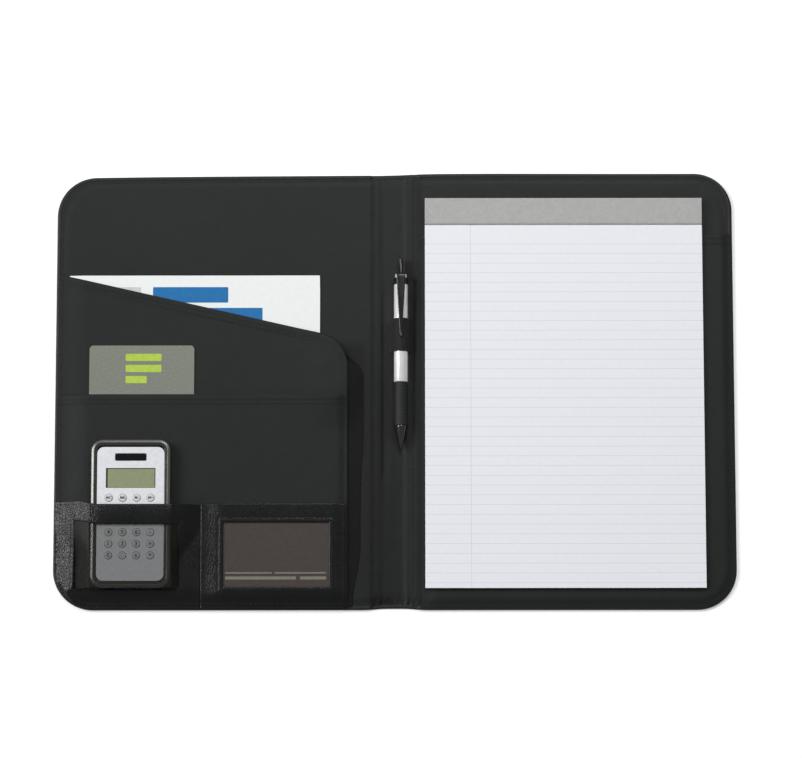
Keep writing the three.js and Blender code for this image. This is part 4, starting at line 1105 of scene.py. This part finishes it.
def key_cap(name, x, y):
    """The key's profile turned round its own middle, closed above and below."""
    radius, level = np.array(KEY_PROFILE).T
    angle = turns(32)[:, None]
    points = stacked(x + radius * np.cos(angle), y + radius * np.sin(angle), level)
    return build(name, points, grid_faces(points, ring=0), KEY_CAP, "key")


def key_sign(name, x, y, sign):
    """The key's sign as a thin layer of type laid on top."""
    words = bpy.data.curves.new(name, "FONT")
    words.body, words.size = sign, 0.0044 if len(sign) == 1 else 0.0029
    words.align_x = words.align_y = "CENTER"
    words.extrude, words.offset, words.resolution_u = 0.00002, 0.00006, 2
    holder = added(name, words)
    bpy.context.view_layer.update()
    flat = evaluated(holder)
    bpy.data.objects.remove(holder)
    flat.transform(Matrix.Translation((x / 1000, y / 1000, SIGN_LEVEL / 1000)))
    flat.materials.clear()
    flat.materials.append(KEY_SIGN)
    made = added(name, flat)
    return made


for k, sign in enumerate(SIGNS):
    row, column = divmod(k, 4)
    body = f"key_r{row + 1}_c{column + 1}"
    spot = KEY_X[column], KEY_Y - row * KEY_STEP
    fit(key_cap(f"{body}_cap", *spot), body, f"calculator_{body}")
    fit(key_sign(f"{body}_cap_sign", *spot, sign), body)

# ------------ Stitching
# Black thread is sewn round both covers, along the hems and the spine, and round the windows. Each
# stitch is a short bead of thread whose ends dive into the cloth.
THREAD = woven("black thread", linear(30, 31, 30), pitch=0.3, depth=0.05)
STITCH_HALF, THREAD_RADIUS, STITCH_STEP = 1.2, 0.24, 3.3


def left_level(x, y):
    """Height of whatever lies on top at a place on the left cover."""
    level = lining_level(x, y)
    for left, right, top, layer in (
        (DOCUMENT_LEFT, DOCUMENT_RIGHT, document_high(np.minimum(x, DOCUMENT_RIGHT)), document_level),
        (CARD_LEFT, CARD_RIGHT, CARD_TOP, card_level),
        (FRAME_LEFT, FRAME_RIGHT, strap_edge(x, *STRAP_TOP), frame_level),
        (BADGE_LEFT, BADGE_RIGHT, BADGE_TOP, badge_level),
    ):
        level = np.where((x > left) & (x < right) & (y < top), layer(x, y), level)
    return level


def right_level(x, y):
    """Height of the cloth on the right cover."""
    return np.where((x > PAD_LEFT) & (y < PAD_TOP), pad_panel_level(x, y), lining_level(x, y))


def sewn_line(*corners, step=STITCH_STEP):
    """Places along a line through the corners, at even steps of its length, with the direction there."""
    corners = np.array(corners, float)
    length = travelled(corners)
    at = np.arange(step / 2, length[-1], step)
    behind, spots, ahead = (
        stacked(*[np.interp(at + shift, length, values) for values in corners.T]) for shift in (-0.5, 0, 0.5)
    )
    return np.concatenate([spots, unit(ahead - behind)], 1)


def cover_edge(side, start, inset=4.6):
    """Corners of a line round one cover at an inset from its outline, from start above to start below."""
    columns = cover_columns(inset)
    x = side * np.concatenate([[start], columns[columns > start]])
    return np.concatenate([stacked(x, top_edge(x, inset)), stacked(x, bottom_edge(x, inset))[::-1]])


def stitches(name, lines, level, seed):
    """Every stitch is a bead, turned at random by about 3 degrees. Along it the thickness falls as the
    root of one less the fourth power and the height as a parabola, so its ends are under the cloth."""
    spots = np.concatenate(lines)
    turn = np.random.default_rng(seed).normal(0, 0.05, len(spots))
    ahead = (spots[:, 2] + 1j * spots[:, 3]) * np.exp(1j * turn)
    ahead = stacked(ahead.real, ahead.imag)[:, None]
    across = ahead[..., ::-1] * [-1, 1]
    along = np.array([-1, -0.8, -0.4, 0, 0.4, 0.8, 1])[:, None]
    angle = np.arange(6) / 6 * 2 * np.pi
    thick = THREAD_RADIUS * np.sqrt(np.clip(1 - along**4, 0, None)) + 0.001
    height = 0.1 * (1 - along**2) - 0.07
    bead = stacked(STITCH_HALF * along, thick * np.cos(angle), height + thick * np.sin(angle))
    one = grid_faces(bead, ring=1, flip=True)
    bead = bead.reshape(1, -1, 3)
    flat = spots[:, None, :2] + bead[..., :1] * ahead + bead[..., 1:2] * across
    points = np.concatenate([flat, level(flat[..., 0], flat[..., 1])[..., None] + bead[..., 2:]], -1)
    faces = (one[None] + bead.shape[1] * np.arange(len(spots))[:, None, None]).reshape(-1, 4)
    return build(name, points, faces, THREAD, "lining")


# Near the panel's curve the slanted line keeps to the inside of the turn.
slant_x = np.linspace(DOCUMENT_LEFT + 3, DOCUMENT_RIGHT - 5.2, 60)
slant_y = document_high(slant_x) - 5.2
in_turn = document_high(np.minimum(slant_x + 3.2, DOCUMENT_RIGHT - 0.1)) - 3.4
slant_y = np.where(slant_x > DOCUMENT_RIGHT - 26, np.minimum(slant_y, in_turn), slant_y)
left_lines = [
    sewn_line(*cover_edge(-1, 20)),
    sewn_line(*zip(slant_x, slant_y), (DOCUMENT_RIGHT - 5, 10), (DOCUMENT_RIGHT - 5, -86)),
    sewn_line((CARD_LEFT + 3, CARD_TOP - 5), (CARD_RIGHT - 2, CARD_TOP - 5)),
    sewn_line((FRAME_LEFT + 3, -87), (-240, -87)),
    sewn_line((-242.6, -97.4), (-242.6, -153.6), (-158.9, -153.6), (-158.9, -98.8)),
    sewn_line((-143.4, -89), (BADGE_RIGHT - 2, -89), (BADGE_RIGHT - 2, -160)),
    sewn_line((-143.4, -89), (-143.4, -160)),
    sewn_line((-130.6, -98.6), (-47.2, -98.6), (-47.2, -151), (-130.6, -151), (-130.6, -98.6), step=2.9),
]
right_lines = [sewn_line(*cover_edge(1, 22.5)), sewn_line((235.6, PAD_TOP - 5), (250, PAD_TOP - 5))]
spine_lines = [sewn_line((x, -162), (x, 162)) for x in (14.2, -15.4)]
for name, lines, level, seed, body in (
    ("left", left_lines, left_level, 1, "front_cover"),
    ("right", right_lines, right_level, 2, "back_cover"),
    ("spine", spine_lines, lining_level, 3, "spine"),
):
    fit(stitches(f"stitches_{name}", lines, level, seed), body)

# ------------ Floor and light
# The folder lies on a plain white table under soft light, which comes mostly from the left. The table
# glows a little where the camera sees it, also in gloss and through film.
TABLE_HALF, TABLE_GLOW = 4, 0.32
floor_mesh = bpy.data.meshes.new("floor")
corners = [(TABLE_HALF * a, TABLE_HALF * b, 0) for a, b in ((-1, -1), (1, -1), (1, 1), (-1, 1))]
floor_mesh.from_pydata(corners, [], [(0, 1, 2, 3)])
floor = added("floor", floor_mesh)
whites = {"Base_Color": (0.82, 0.82, 0.82, 1), "Emission_Color": (1, 1, 1, 1)}
table = Paint("white table", Roughness=0.9, Specular_IOR_Level=0.1, **whites)
ray = table.node("LightPath")
seen = table.maths("ADD", ray["Is Camera Ray"], ray["Is Glossy Ray"])
seen = table.maths("ADD", seen, ray["Is Transmission Ray"], use_clamp=True)
table.feed("Emission Strength", table.maths("MULTIPLY", seen, TABLE_GLOW))
floor.data.materials.append(table.material)

world = bpy.data.worlds.new("soft white room")
bpy.context.scene.world = world
world.use_nodes = True
sky = world.node_tree.nodes["Background"].inputs
sky["Color"].default_value, sky["Strength"].default_value = (1, 1, 1, 1), 0.3

for name, place, size, power in (
    ("window light", (-3.1, 0.7, 2.7), 2.0, 128), ("ceiling light", (0.2, 1.0, 1.5), 0.6, 11.5),
):
    lamp = bpy.data.lights.new(name, "AREA")
    lamp.shape, lamp.size, lamp.energy = "SQUARE", size, power
    faced(added(name, lamp), place, -Vector(place))
